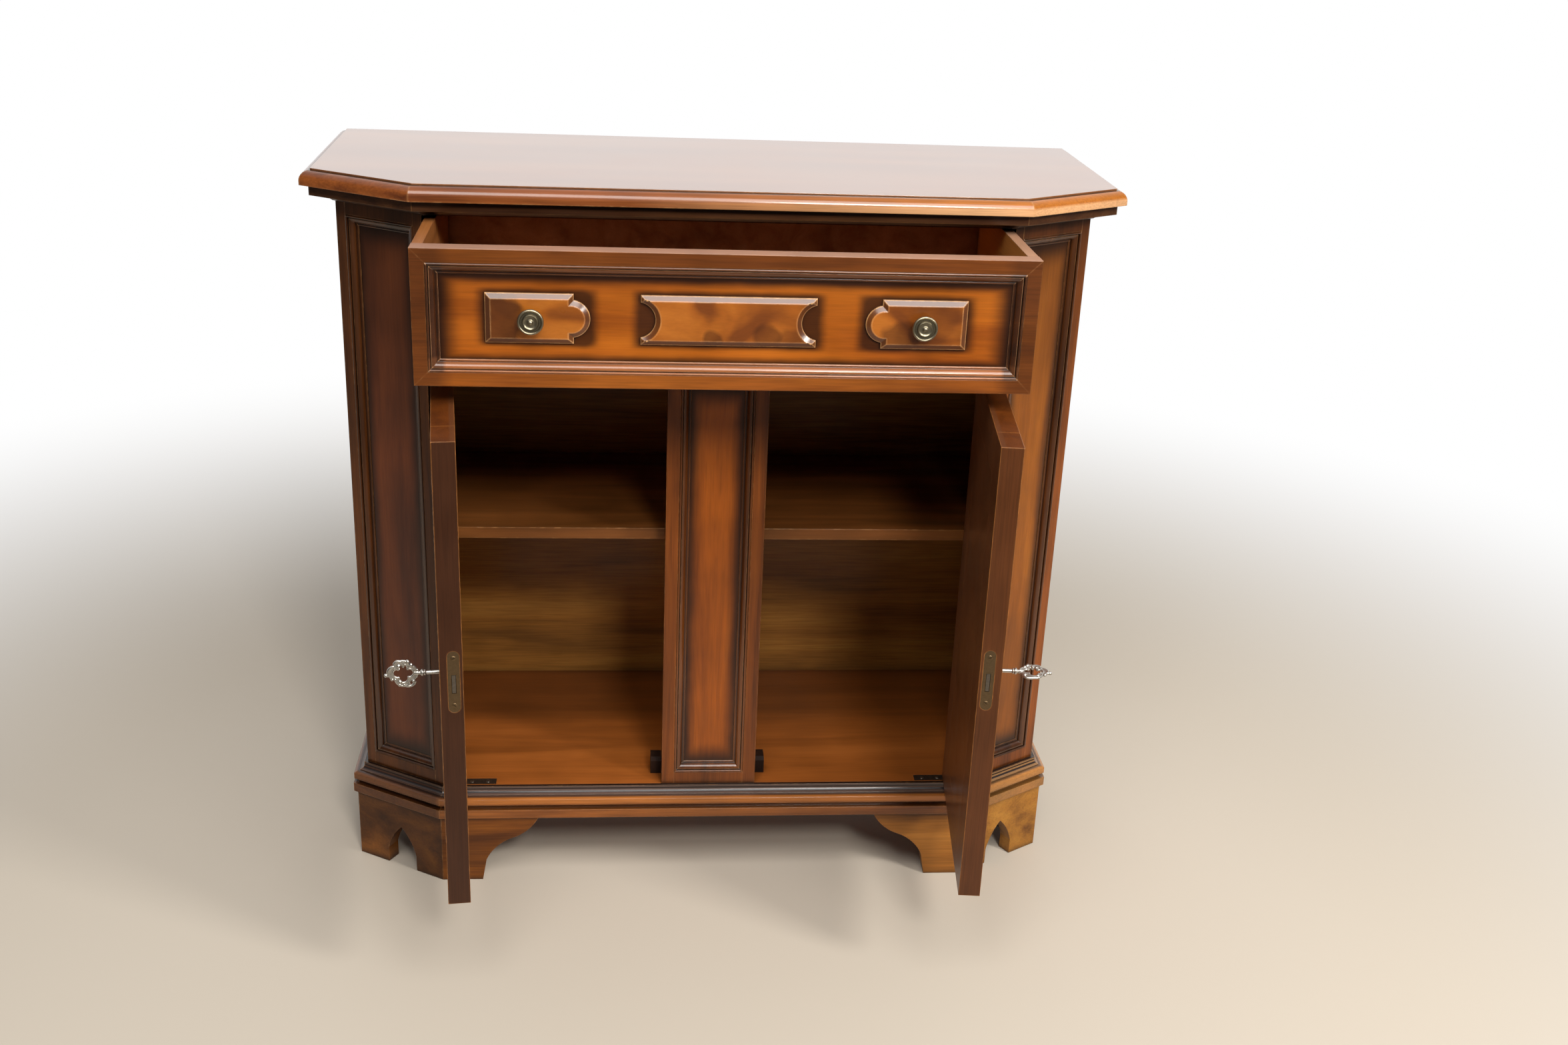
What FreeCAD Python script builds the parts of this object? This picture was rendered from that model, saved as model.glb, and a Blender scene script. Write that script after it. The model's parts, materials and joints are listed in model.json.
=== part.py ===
import FreeCAD, Part
import math
import os

Vec = FreeCAD.Vector

# Overall sizes in millimetres. The model is drawn with y = 0 on the body's front plane.
TOTAL_HEIGHT = 850.0
BODY_WIDTH = 828.0
CANT_WIDTH = 97.3            # how far in from the side each cant starts
CANT_DEPTH = 59.0            # how far back each cant runs
BODY_DEPTH = 303.0
ORIGIN_SETBACK = 28.0        # origin behind the front plane, under the open cabinet's middle

# Photographed pose
DOOR_OPENING = 84.0          # degrees
DRAWER_PULLED = 142.0
LEFT_KEY_TURN = 0.0          # degrees the key's bow leans from upright
RIGHT_KEY_TURN = 90.0

# Boards and levels
FOOT_HEIGHT = 88.5
PLINTH_HEIGHT = 36.5
FLOOR_THICKNESS = 16.0
SIDE_THICKNESS = 16.0
BACK_THICKNESS = 5.0
BACK_REBATE = 8.0            # how far the back panel reaches into each side board
DECK_THICKNESS = 19.0        # board that carries the drawer
DRAWER_OPENING = 143.0
TOP_RAIL_HEIGHT = 20.3
TOP_RAIL_DEPTH = 22.0
TOP_THICKNESS = 17.2
SHELF_THICKNESS = 13.5
SHELF_RISE = 305.0           # clear height under the shelf
SHELF_SETBACK = 40.0
SHELF_PIN_RADIUS = 3.0
SHELF_PIN_LENGTH = 18.0
SHELF_PIN_INSET = 50.0       # pins stand this far in from the shelf's ends
FIT = 0.3                    # running gap of flat faces
SEAT = 0.2                   # gap round pieces let into a rebate

# Top edge moulding and bed moulding
TOP_OVERHANG = 22.4          # top panel past the body
LIP_WIDTH = 11.4
LIP_STEP = 2.0               # lip starts this far below the top surface
LIP_NOSE = 10.8              # radius of the rounded edge
BED_HEIGHT = 18.7
BED_REACH = 24.9
BED_FILLET = 11.4
BED_TOE = 2.5
BED_HOLLOW = 2.5             # depth of the cove's curve

# Plinth moulding, from the top down
PLINTH_LEDGE = 4.2
PLINTH_FILLET = 4.5
PLINTH_COVE = 4.2
PLINTH_COVE_WIDTH = 5.1
PLINTH_HOLLOW = 0.9          # depth of the cove's curve
PLINTH_QUIRK = 1.0
PLINTH_SHOULDER = 2.2        # fall of the rounded shoulder
PLINTH_NOSE = 7.4            # height of the face under the shoulder
PLINTH_GROOVE = 6.0
PLINTH_GROOVE_DEPTH = 4.8
PLINTH_NOSE_SETBACK = 1.0    # face behind the lowest band
PLINTH_REACH = 17.3
BASE_RAIL_WIDTH = 25.0

# Feet
FOOT_REACH = 13.0            # foot's outer face past the body
FOOT_THICKNESS = 18.0
ANKLE_HEIGHT = 28.0
ANKLE_LEAN = 5.0
FOOT_TOE = 48.0              # width of a bracket at the floor
BRACKET_LENGTH = 117.0       # width of a front bracket at its top
SIDE_BRACKET_LENGTH = 96.0
BRACKET_CURVE = 4.5          # swell of each half of the cyma curve
ARCH_WIDTH = 42.0
ARCH_SPRING = 20.0
ARCH_HEIGHT = 55.0
ARCH_SWELL = 3.0
GLUE_BLOCK = 28.0
GLUE_BLOCK_HEIGHT = 70.0

# Framed panels: face width of the frame, then the moulding round the panel
CORNER_FACE = 12.0
CORNER_RAIL_TOP = 14.0
CORNER_RAIL_BOTTOM = 16.5
CORNER_THICKNESS = 22.0
POST_WIDTH = 113.0
POST_FACE = 15.0
DRAWER_FACE = 14.5
DOOR_FACE = 46.0
FRAME_REBATE = 9.0
PANEL_THICKNESS = 6.0
PANEL_RECESS = 8.0
MOULDING_WIDTH = 12.0
MOULDING_PROUD = 0.8         # crest of the outer bead above the frame's face
MOULDING_BEAD = 2.6          # width of the outer bead
MOULDING_BEAD_FOOT = 0.4     # bead's edges below the frame's face
MOULDING_QUIRK = 2.2         # bottom of the first groove below the frame's face
MOULDING_QUIRK_WIDTH = 0.9
MOULDING_OVOLO_RISE = 0.8    # ovolo's start above the groove
MOULDING_OVOLO = 5.5
MOULDING_DROP = 4.4
MOULDING_STEP = 1.1
MOULDING_GROOVE_WIDTH = 0.8

# Drawer
DRAWER_FRONT_THICKNESS = 20.0
DRAWER_SIDE_GAP = 3.0
DRAWER_TOP_GAP = 1.5
DRAWER_BOTTOM_GAP = 1.5
DRAWER_DEPTH = 276.0
DRAWER_SIDE_THICKNESS = 11.0
DRAWER_SIDE_INSET = 0.6
DRAWER_BOTTOM_THICKNESS = 5.0
DRAWER_BOTTOM_RISE = 10.0
DRAWER_GROOVE = 5.0
DRAWER_BACK_DROP = 11.0      # drawer back stands lower than the sides
GUIDE_WIDTH = 19.0
GUIDE_HEIGHT = 20.0
KICKER_WIDTH = 34.0

# Plaques on the drawer front
PLAQUE_HEIGHT = 51.0
PLAQUE_EDGE = 2.0
PLAQUE_BEVEL = 5.5
PLAQUE_RISE = 3.5
END_PLAQUE_OUTER_SHARE = 0.773   # of the drawer front's half width, as the next three
END_PLAQUE_INNER_SHARE = 0.494
CENTRE_PLAQUE_SHARE = 0.282
KNOB_SHARE = 0.628
LOBE_REACH = 16.4
LOBE_RADIUS = 19.3
HOLLOW_DEPTH = 14.8
HOLLOW_RADIUS = 18.5

# Knobs
KNOB_RADIUS = 13.2
KNOB_FOOT_RADIUS = 8.0
KNOB_FOOT = 2.0
KNOB_NECK_RADIUS = 5.0
KNOB_STAND = 8.0             # underside of the head above the plaque
KNOB_HEAD = 5.2              # underside to the rim's crest
KNOB_RIM = 2.6               # width of the raised rim
KNOB_DISH = 1.4              # depth of the sunk ring inside the rim
KNOB_DISC_RADIUS = 8.0
KNOB_DISC_RISE = 2.2
KNOB_BUTTON_RADIUS = 2.2
KNOB_BOLT_RADIUS = 2.0

# Doors and their pivot hinges
DOOR_THICKNESS = 23.5
DOOR_HINGE_GAP = 1.8
DOOR_POST_GAP = 1.5
DOOR_BOTTOM_GAP = 2.0
DOOR_TOP_GAP = 1.7
PIVOT_INSET = 5.2            # pivot to the door's hinge edge
PIVOT_DEPTH = 4.0            # pivot behind the door's front face
HINGE_LENGTH = 60.0
HINGE_WIDTH = 13.0
HINGE_THICKNESS = 2.5
HINGE_FRONT = 1.5            # front edge of the leaves behind the door's front face
PIN_RADIUS = 2.0
PIN_CLEARANCE = 0.05
PIN_LENGTH = 6.0
PIN_COLLAR_RADIUS = 3.6
STOP_WIDTH = 13.0
STOP_DEPTH = 20.0
STOP_HEIGHT = 21.0
STOP_CHAMFER = 4.0

# Locks, bolts and keys
LOCK_HEIGHT = 392.0          # key's axis above the floor
LOCK_DEPTH = 14.0            # lock's middle behind the door's front face
BACKSET = 25.0               # key's axis from the door's free edge
LOCK_PLATE_LENGTH = 69.0
LOCK_PLATE_WIDTH = 12.0
LOCK_PLATE_THICKNESS = 2.0
CASE_LENGTH = 38.0
CASE_HEIGHT = 50.0
CASE_THICKNESS = 9.6
CASE_WALL = 1.2
BOLT_HEIGHT = 20.0
BOLT_THICKNESS = 3.8
BOLT_LENGTH = 15.0
BOLT_DROP = 2.5              # bolt's middle below the key's axis
BOLT_THROW = 7.5
BOLT_CLEARANCE = 0.4
STRIKE_LENGTH = 64.0
STRIKE_THICKNESS = 1.2
STRIKE_DEPTH = 9.0
SHANK_RADIUS = 2.7
KEYHOLE_RADIUS = 3.4
SHANK_OUTSIDE = 22.0
SHANK_INSIDE = 17.0
BIT_REACH = 8.5
BIT_THICKNESS = 2.2
BIT_LENGTH = 5.6
KEY_COLLAR_RADIUS = 4.4
KEY_COLLAR = 2.6
KEY_COLLAR_PLACE = 16.0
BOW_THICKNESS = 3.6
BOW_LENGTH = 33.0
BOW_MIDDLE = 14.0            # centre of the bow's opening from the bow's start
BOW_LOBE_RADIUS = 7.3
BOW_LOBE_ALONG = 6.6         # lobes stand this far before and behind the middle
BOW_LOBE_ASIDE = 9.0
BOW_EYE_RADIUS = 4.2         # each of the four rounds of the opening
BOW_TIP_RADIUS = 2.4
BOW_ROOT_RADIUS = 3.8

# Levels and lines worked out from the sizes above
PLINTH_TOP = FOOT_HEIGHT + PLINTH_HEIGHT
TOP_UNDERSIDE = TOTAL_HEIGHT - TOP_THICKNESS
RAIL_UNDERSIDE = TOP_UNDERSIDE - TOP_RAIL_HEIGHT
DECK_TOP = RAIL_UNDERSIDE - DRAWER_OPENING
DECK_UNDERSIDE = DECK_TOP - DECK_THICKNESS
SHELF_UNDERSIDE = PLINTH_TOP + SHELF_RISE
BACK_FRONT = BODY_DEPTH - BACK_THICKNESS
HALF_BODY = BODY_WIDTH / 2
HALF_FRONT = HALF_BODY - CANT_WIDTH
HALF_POST = POST_WIDTH / 2
SIDE_INNER = HALF_BODY - SIDE_THICKNESS
CANT_LENGTH = math.hypot(CANT_WIDTH, CANT_DEPTH)
CANT_ALONG = Vec(CANT_WIDTH / CANT_LENGTH, CANT_DEPTH / CANT_LENGTH, 0)
CANT_OUT = Vec(CANT_ALONG.y, -CANT_ALONG.x, 0)
DOOR_FREE = HALF_POST + DOOR_POST_GAP
DOOR_EDGE = HALF_FRONT - DOOR_HINGE_GAP
DOOR_BOTTOM = PLINTH_TOP + DOOR_BOTTOM_GAP
DOOR_TOP = DECK_UNDERSIDE - DOOR_TOP_GAP
PIVOT = Vec(DOOR_EDGE - PIVOT_INSET, PIVOT_DEPTH, 0)
HALF_DRAWER = HALF_FRONT - DRAWER_SIDE_GAP
END_PLAQUE_OUTER = HALF_DRAWER * END_PLAQUE_OUTER_SHARE
END_PLAQUE_INNER = HALF_DRAWER * END_PLAQUE_INNER_SHARE
HALF_CENTRE_PLAQUE = HALF_DRAWER * CENTRE_PLAQUE_SHARE
KNOB_X = HALF_DRAWER * KNOB_SHARE
DRAWER_BOTTOM = DECK_TOP + DRAWER_BOTTOM_GAP
DRAWER_TOP = RAIL_UNDERSIDE - DRAWER_TOP_GAP
DRAWER_MIDDLE = (DRAWER_BOTTOM + DRAWER_TOP) / 2
DRAWER_SIDE_OUTER = HALF_DRAWER - DRAWER_SIDE_INSET
DRAWER_SIDE_INNER = DRAWER_SIDE_OUTER - DRAWER_SIDE_THICKNESS
KEY_X = DOOR_FREE + BACKSET
BOLT_Z = LOCK_HEIGHT - BOLT_DROP
MITRE_REACH = 60.0           # longer than any moulding is wide
CUT = 1.0                    # cutters overrun faces by this much


def box(x, y, z):
    """A block from three pairs of limits."""
    return Part.makeBox(x[1] - x[0], y[1] - y[0], z[1] - z[0], Vec(x[0], y[0], z[0]))


def outline(steps, place):
    """A closed wire. A step is a point, or a pair of points for an arc's middle and end."""
    edges = []
    here = steps[0]
    for step in steps[1:] + steps[:1]:
        if isinstance(step[0], tuple):
            middle, end = step
            edges.append(Part.Arc(place(*here), place(*middle), place(*end)).toShape())
        else:
            end = step
            edges.append(Part.makeLine(place(*here), place(*end)))
        here = end
    return Part.Wire(edges)


def swell(start, end, height):
    """The middle of an arc that swells to the left of the line from start to end."""
    run = math.hypot(end[0] - start[0], end[1] - start[1])
    left = (-(end[1] - start[1]) / run, (end[0] - start[0]) / run)
    middle = ((start[0] + end[0]) / 2, (start[1] + end[1]) / 2)
    return (middle[0] + left[0] * height, middle[1] + left[1] * height)


def prism(points, z):
    """An upright block on a plan outline of straight lines."""
    face = Part.Face(outline(points, lambda x, y: Vec(x, y, z[0])))
    return face.extrude(Vec(0, 0, z[1] - z[0]))


def mitred_lengths(path, section, closed=False):
    """One bar for each run of a flat path, mitred where runs meet.

    The section's first coordinate is measured to the right of the path, the second upwards.
    """
    points = [Vec(x, y, 0) for x, y in path]
    count = len(points)
    runs = [(i, (i + 1) % count) for i in range(count if closed else count - 1)]
    along = [(points[b] - points[a]).normalize() for a, b in runs]
    right = [Vec(d.y, -d.x, 0) for d in along]
    bars = []
    for i, (a, b) in enumerate(runs):
        before = right[i - 1] if closed or i > 0 else right[i]
        after = right[(i + 1) % len(runs)] if closed or i < len(runs) - 1 else right[i]
        start_cut = (before + right[i]) * (1 / (1 + before.dot(right[i])))
        end_cut = (after + right[i]) * (1 / (1 + after.dot(right[i])))
        start = points[a] - along[i] * MITRE_REACH
        wire = outline(section, lambda out, up: start + right[i] * out + Vec(0, 0, up))
        length = (points[b] - points[a]).Length + 2 * MITRE_REACH
        bar = Part.Face(wire).extrude(along[i] * length)
        corners = [points[a] - start_cut * MITRE_REACH, points[a] + start_cut * MITRE_REACH,
                   points[b] + end_cut * MITRE_REACH, points[b] - end_cut * MITRE_REACH]
        limits = (bar.BoundBox.ZMin - CUT, bar.BoundBox.ZMax + CUT)
        bars.append(bar.common(prism([(c.x, c.y) for c in corners], limits)).Solids[0])
    return bars


def upright(corner, along):
    """Places a flat drawing upright: its first axis along, its second up, its third out to the front."""
    out = along.cross(Vec(0, 0, 1))
    return FreeCAD.Placement(FreeCAD.Matrix(along.x, 0, out.x, corner.x, along.y, 0, out.y, corner.y,
                                            along.z, 1, out.z, corner.z, 0, 0, 0, 1))


def placed(solids, placement):
    return [s.transformed(placement.toMatrix(), True) for s in solids]


def mirrored(solids):
    """The same pieces on the cabinet's other side."""
    return [s.mirror(Vec(0, 0, 0), Vec(1, 0, 0)) for s in solids]


def turned(solids, angle):
    """Pieces of the right door, swung open about its pivot."""
    return [s.rotated(PIVOT, Vec(0, 0, 1), angle) for s in solids]


def cut_all(solids, cutters):
    for cutter in cutters:
        solids = [s.cut(cutter) for s in solids]
    return [part for s in solids for part in s.Solids]


def half_plan(offset):
    """Front corner and outer corner of the body's right half, grown outwards by an offset."""
    front_x = HALF_FRONT + offset * (1 + CANT_OUT.y) / CANT_OUT.x
    outer_y = CANT_DEPTH + offset * (1 - CANT_OUT.x) / CANT_OUT.y
    return (front_x, -offset), (HALF_BODY + offset, outer_y)


def body_path(offset, back=BODY_DEPTH):
    """The body's outline from the left back corner round the front to the right back corner."""
    front, outer = half_plan(offset)
    right = [front, outer, (outer[0], back)]
    return [(-x, y) for x, y in reversed(right)] + right


def corner_mitre(depth):
    """A point of the mitre between corner frame and side board, at a depth inside the faces."""
    return (HALF_BODY - depth, CANT_DEPTH - depth * CANT_OUT.y / (1 + CANT_OUT.x))


def inner_plan(front, clearance, back):
    """The room inside the corner frames and side boards, from a front line to a back line."""
    wall = CORNER_THICKNESS + clearance
    jamb = HALF_FRONT - clearance
    side = SIDE_INNER - clearance
    slope = CANT_DEPTH / CANT_WIDTH
    at_jamb = wall / CANT_ALONG.x - slope * clearance
    if front < at_jamb:
        right = [(jamb, front), (jamb, at_jamb)]
    else:
        right = [(jamb + (front - at_jamb) / slope, front)]
    right += [(side, at_jamb + (side - jamb) * slope), (side, back)]
    return [(-x, y) for x, y in reversed(right)] + right


# Framed panels

def panel_moulding_section():
    """Section of the moulding round a panel: bead, groove, ovolo, second groove and inner bead."""
    bead_start = (0.0, -MOULDING_BEAD_FOOT)
    bead_crest = (MOULDING_BEAD / 2, MOULDING_PROUD)
    bead_end = (MOULDING_BEAD, -MOULDING_BEAD_FOOT)
    quirk_start = (MOULDING_BEAD, -MOULDING_QUIRK)
    quirk_end = (MOULDING_BEAD + MOULDING_QUIRK_WIDTH, -MOULDING_QUIRK)
    ovolo_start = (quirk_end[0], quirk_end[1] + MOULDING_OVOLO_RISE)
    ovolo_end = (ovolo_start[0] + MOULDING_OVOLO, ovolo_start[1] - MOULDING_DROP)
    groove_start = (ovolo_end[0], ovolo_end[1] - MOULDING_STEP)
    groove_end = (groove_start[0] + MOULDING_GROOVE_WIDTH, groove_start[1])
    inner_end = (MOULDING_WIDTH, -PANEL_RECESS)
    ovolo_middle = swell(ovolo_start, ovolo_end, MOULDING_DROP / 4)
    inner_middle = swell(groove_end, inner_end, MOULDING_STEP * 2 / 3)
    return [(0.0, -PANEL_RECESS), bead_start, (bead_crest, bead_end), quirk_start, quirk_end, ovolo_start,
            (ovolo_middle, ovolo_end), groove_start, groove_end, (inner_middle, inner_end)]


def framed_panel(width, height, face, rail_bottom, rail_top, thickness, flush=False, mitred=False):
    """Two stiles, two rails, a panel and its mitred moulding, drawn flat with the front at 0.

    A thin panel lies in a rebate of the frame. A flush one is as thick as the frame behind its face.
    A mitred frame has rails as wide as its stiles.
    """
    panel_back = thickness if flush else PANEL_RECESS + PANEL_THICKNESS
    stile = box((0, face), (0, height), (-thickness, 0))
    bottom = box((face, width - face), (0, rail_bottom), (-panel_back, 0))
    top = box((face, width - face), (height - rail_top, height), (-panel_back, 0))
    if not flush:
        inner = face + FRAME_REBATE
        behind = (-thickness, -panel_back)
        stile = stile.fuse(box((face, inner), (0, height), behind)).removeSplitter()
        low = box((inner, width - inner), (0, rail_bottom + FRAME_REBATE), behind)
        bottom = bottom.fuse(low).removeSplitter()
        high = box((inner, width - inner), (height - rail_top - FRAME_REBATE, height), behind)
        top = top.fuse(high).removeSplitter()
    path = [(width - face, rail_bottom), (face, rail_bottom), (face, height - rail_top),
            (width - face, height - rail_top)]
    frame = [stile, stile.mirror(Vec(width / 2, 0, 0), Vec(1, 0, 0)), bottom, top]
    if mitred:
        section = [(-face, -thickness), (-face, 0.0), (0.0, 0.0), (0.0, -thickness)]
        frame = mitred_lengths(path, section, closed=True)
    panel = box((face + SEAT, width - face - SEAT), (rail_bottom + SEAT, height - rail_top - SEAT),
                (-panel_back, -PANEL_RECESS))
    return frame, [panel], mitred_lengths(path, panel_moulding_section(), closed=True)


# Top, plinth and feet

def top_panel():
    return [prism(body_path(TOP_OVERHANG), (TOP_UNDERSIDE, TOTAL_HEIGHT))]


def top_edge_moulding():
    outer = TOP_OVERHANG + LIP_WIDTH
    upper = TOTAL_HEIGHT - LIP_STEP
    nose_start = (outer, upper - LIP_NOSE)
    nose_end = (outer - LIP_NOSE, upper)
    nose_middle = (outer - LIP_NOSE * (1 - math.sqrt(0.5)), upper - LIP_NOSE * (1 - math.sqrt(0.5)))
    section = [(TOP_OVERHANG, TOP_UNDERSIDE), (outer, TOP_UNDERSIDE), nose_start,
               (nose_middle, nose_end), (TOP_OVERHANG, upper)]
    return mitred_lengths(body_path(0), section)


def bed_moulding():
    toe = (BED_TOE, TOP_UNDERSIDE - BED_HEIGHT)
    lip = (BED_REACH, TOP_UNDERSIDE - BED_FILLET)
    section = [(0.0, TOP_UNDERSIDE), (0.0, TOP_UNDERSIDE - BED_HEIGHT), toe,
               (swell(toe, lip, BED_HOLLOW), lip), (BED_REACH, TOP_UNDERSIDE)]
    return mitred_lengths(body_path(0), section)


def plinth_moulding():
    """Fillet, cove, rounded shoulder with its face, a deep groove and the lowest band."""
    nose = PLINTH_REACH - PLINTH_NOSE_SETBACK
    cove_start = (PLINTH_LEDGE, PLINTH_TOP - PLINTH_FILLET)
    cove_end = (PLINTH_LEDGE + PLINTH_COVE_WIDTH, cove_start[1] - PLINTH_COVE)
    shoulder_start = (cove_end[0], cove_end[1] - PLINTH_QUIRK)
    shoulder_end = (nose, shoulder_start[1] - PLINTH_SHOULDER)
    shoulder_middle = swell(shoulder_start, shoulder_end, PLINTH_SHOULDER / 3)
    nose_foot = shoulder_end[1] - PLINTH_NOSE
    band_top = nose_foot - PLINTH_GROOVE
    groove_back = nose - PLINTH_GROOVE_DEPTH
    section = [(0.0, FOOT_HEIGHT), (0.0, PLINTH_TOP), (PLINTH_LEDGE, PLINTH_TOP), cove_start,
               (swell(cove_start, cove_end, -PLINTH_HOLLOW), cove_end), shoulder_start,
               (shoulder_middle, shoulder_end), (nose, nose_foot), (groove_back, nose_foot),
               (groove_back, band_top), (PLINTH_REACH, band_top), (PLINTH_REACH, FOOT_HEIGHT)]
    return mitred_lengths(body_path(0), section)


def base_frame():
    """Rails under the floor board, mitred all round."""
    low, high = FOOT_HEIGHT, PLINTH_TOP - FLOOR_THICKNESS
    section = [(-BASE_RAIL_WIDTH, low), (0.0, low), (0.0, high), (-BASE_RAIL_WIDTH, high)]
    return mitred_lengths(body_path(0, BACK_FRONT), section, closed=True)


def bracket_opening(start, end, length, across):
    """The space between two bracket feet: leaning ankles, then a cyma curve on each side."""
    def half(edge, sign):
        toe = (edge + sign * FOOT_TOE, 0.0)
        ankle = (toe[0] + sign * ANKLE_LEAN, ANKLE_HEIGHT)
        tip = (edge + sign * length, FOOT_HEIGHT)
        middle = ((ankle[0] + tip[0]) / 2, (ankle[1] + tip[1]) / 2)
        lower = swell(ankle, middle, sign * BRACKET_CURVE)
        upper = swell(middle, tip, -sign * BRACKET_CURVE)
        return toe, ankle, lower, middle, upper, tip
    toe, ankle, lower, middle, upper, tip = half(start, 1)
    toe2, ankle2, lower2, middle2, upper2, tip2 = half(end, -1)
    steps = [(toe[0], -CUT), toe, ankle, (lower, middle), (upper, tip), (tip[0], FOOT_HEIGHT + CUT),
             (tip2[0], FOOT_HEIGHT + CUT), tip2, (upper2, middle2), (lower2, ankle2), toe2, (toe2[0], -CUT)]
    return Part.Face(outline(steps, across))


def pointed_arch():
    """The arch through a canted foot, drawn along the cant and upwards."""
    middle = CANT_LENGTH / 2
    left, right = middle - ARCH_WIDTH / 2, middle + ARCH_WIDTH / 2
    spring_left, spring_right = (left, ARCH_SPRING), (right, ARCH_SPRING)
    apex = (middle, ARCH_HEIGHT)
    steps = [(left, -CUT), spring_left, (swell(spring_left, apex, ARCH_SWELL), apex),
             (swell(apex, spring_right, ARCH_SWELL), spring_right), (right, -CUT)]
    depth = FOOT_REACH + FOOT_THICKNESS
    face = Part.Face(outline(steps, lambda s, z: Vec(s, z, -depth)))
    cutter = face.extrude(Vec(0, 0, 2 * depth))
    return placed([cutter], upright(Vec(HALF_FRONT, 0, 0), CANT_ALONG))[0]


def feet():
    """Front, canted and side feet, cut from one mitred skirt."""
    inner = FOOT_REACH - FOOT_THICKNESS
    section = [(inner, 0.0), (FOOT_REACH, 0.0), (FOOT_REACH, FOOT_HEIGHT), (inner, FOOT_HEIGHT)]
    left_side, left_cant, front, right_cant, right_side = mitred_lengths(body_path(0), section)
    corner, outer = half_plan(FOOT_REACH)
    reach = BODY_WIDTH
    front_opening = bracket_opening(-corner[0], corner[0], BRACKET_LENGTH, lambda x, z: Vec(x, -reach, z))
    side_opening = bracket_opening(outer[1], BODY_DEPTH, SIDE_BRACKET_LENGTH, lambda y, z: Vec(-reach, y, z))
    fronts = front.cut(front_opening.extrude(Vec(0, 2 * reach, 0))).Solids
    fronts.sort(key=lambda s: s.CenterOfMass.x)
    sides = cut_all([left_side, right_side], [side_opening.extrude(Vec(2 * reach, 0, 0))])
    arch = pointed_arch()
    right_corner = right_cant.cut(arch).Solids
    return {"left_front_foot": fronts[:1], "right_front_foot": fronts[1:],
            "left_corner_foot": mirrored(right_corner), "right_corner_foot": right_corner,
            "side_feet": sides}


def foot_blocks():
    """Glue blocks behind the feet, under the base frame."""
    inner = FOOT_REACH - FOOT_THICKNESS
    front, outer = half_plan(inner)
    low = FOOT_HEIGHT - GLUE_BLOCK_HEIGHT
    blocks = []
    for x, y in ((front[0] - GLUE_BLOCK, -inner), (outer[0] - GLUE_BLOCK, BODY_DEPTH - GLUE_BLOCK),
                 (outer[0] - GLUE_BLOCK, outer[1])):
        blocks.append(box((x, x + GLUE_BLOCK), (y, y + GLUE_BLOCK), (low, FOOT_HEIGHT)))
    return blocks + mirrored(blocks)


# Carcass boards

def hinge_pocket(low):
    """The room of one hinge leaf, with its lower face at a level."""
    return box((DOOR_EDGE - HINGE_LENGTH, DOOR_EDGE), (HINGE_FRONT, HINGE_FRONT + HINGE_WIDTH),
               (low, low + HINGE_THICKNESS))


def carcass_hinge_plates():
    """Leaves let into the floor and the deck, each with a collared pin that a door turns on."""
    plates = []
    for face, sign, gap in ((PLINTH_TOP, 1, DOOR_BOTTOM_GAP), (DECK_UNDERSIDE, -1, DOOR_TOP_GAP)):
        leaf = hinge_pocket(face - HINGE_THICKNESS if sign > 0 else face)
        base = Vec(PIVOT.x, PIVOT.y, face)
        up = Vec(0, 0, sign)
        collar = Part.makeCylinder(PIN_COLLAR_RADIUS, gap - FIT, base, up)
        pin = Part.makeCylinder(PIN_RADIUS, gap + PIN_LENGTH, base, up)
        plates.append(leaf.fuse([collar, pin]).removeSplitter())
    return plates + mirrored(plates)


def floor_board():
    board = prism(body_path(0, BACK_FRONT), (PLINTH_TOP - FLOOR_THICKNESS, PLINTH_TOP))
    pocket = hinge_pocket(PLINTH_TOP - HINGE_THICKNESS)
    return cut_all([board], [pocket] + mirrored([pocket]))


def drawer_deck():
    board = prism(inner_plan(0.0, SEAT, BACK_FRONT), (DECK_UNDERSIDE, DECK_TOP))
    pocket = hinge_pocket(DECK_UNDERSIDE)
    return cut_all([board], [pocket] + mirrored([pocket]))


def top_rail():
    limit = HALF_FRONT - SEAT
    return [box((-limit, limit), (0, TOP_RAIL_DEPTH), (RAIL_UNDERSIDE, TOP_UNDERSIDE))]


def side_boards():
    """Side boards mitred to the corner frames, rebated for the back panel and bored for the shelf pins."""
    plan = [corner_mitre(0), (HALF_BODY, BODY_DEPTH), (SIDE_INNER, BODY_DEPTH), corner_mitre(SIDE_THICKNESS)]
    board = prism(plan, (PLINTH_TOP, TOP_UNDERSIDE))
    rebate = box((SIDE_INNER - CUT, SIDE_INNER + BACK_REBATE), (BACK_FRONT, BODY_DEPTH + CUT),
                 (PLINTH_TOP - CUT, TOP_UNDERSIDE + CUT))
    right = cut_all([board], [rebate] + right_shelf_pins())
    return mirrored(right), right


def back_panel():
    reach = SIDE_INNER + BACK_REBATE - SEAT
    return [box((-reach, reach), (BACK_FRONT, BODY_DEPTH), (PLINTH_TOP - FLOOR_THICKNESS, TOP_UNDERSIDE))]


def shelf():
    return [prism(inner_plan(SHELF_SETBACK, CUT, BACK_FRONT - CUT),
                  (SHELF_UNDERSIDE, SHELF_UNDERSIDE + SHELF_THICKNESS))]


def right_shelf_pins():
    start = SIDE_INNER - SHELF_PIN_LENGTH / 2
    z = SHELF_UNDERSIDE - SHELF_PIN_RADIUS - SEAT
    places = (CANT_DEPTH + SHELF_PIN_INSET, BACK_FRONT - SHELF_PIN_INSET)
    return [Part.makeCylinder(SHELF_PIN_RADIUS, SHELF_PIN_LENGTH, Vec(start, y, z), Vec(1, 0, 0))
            for y in places]


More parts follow.
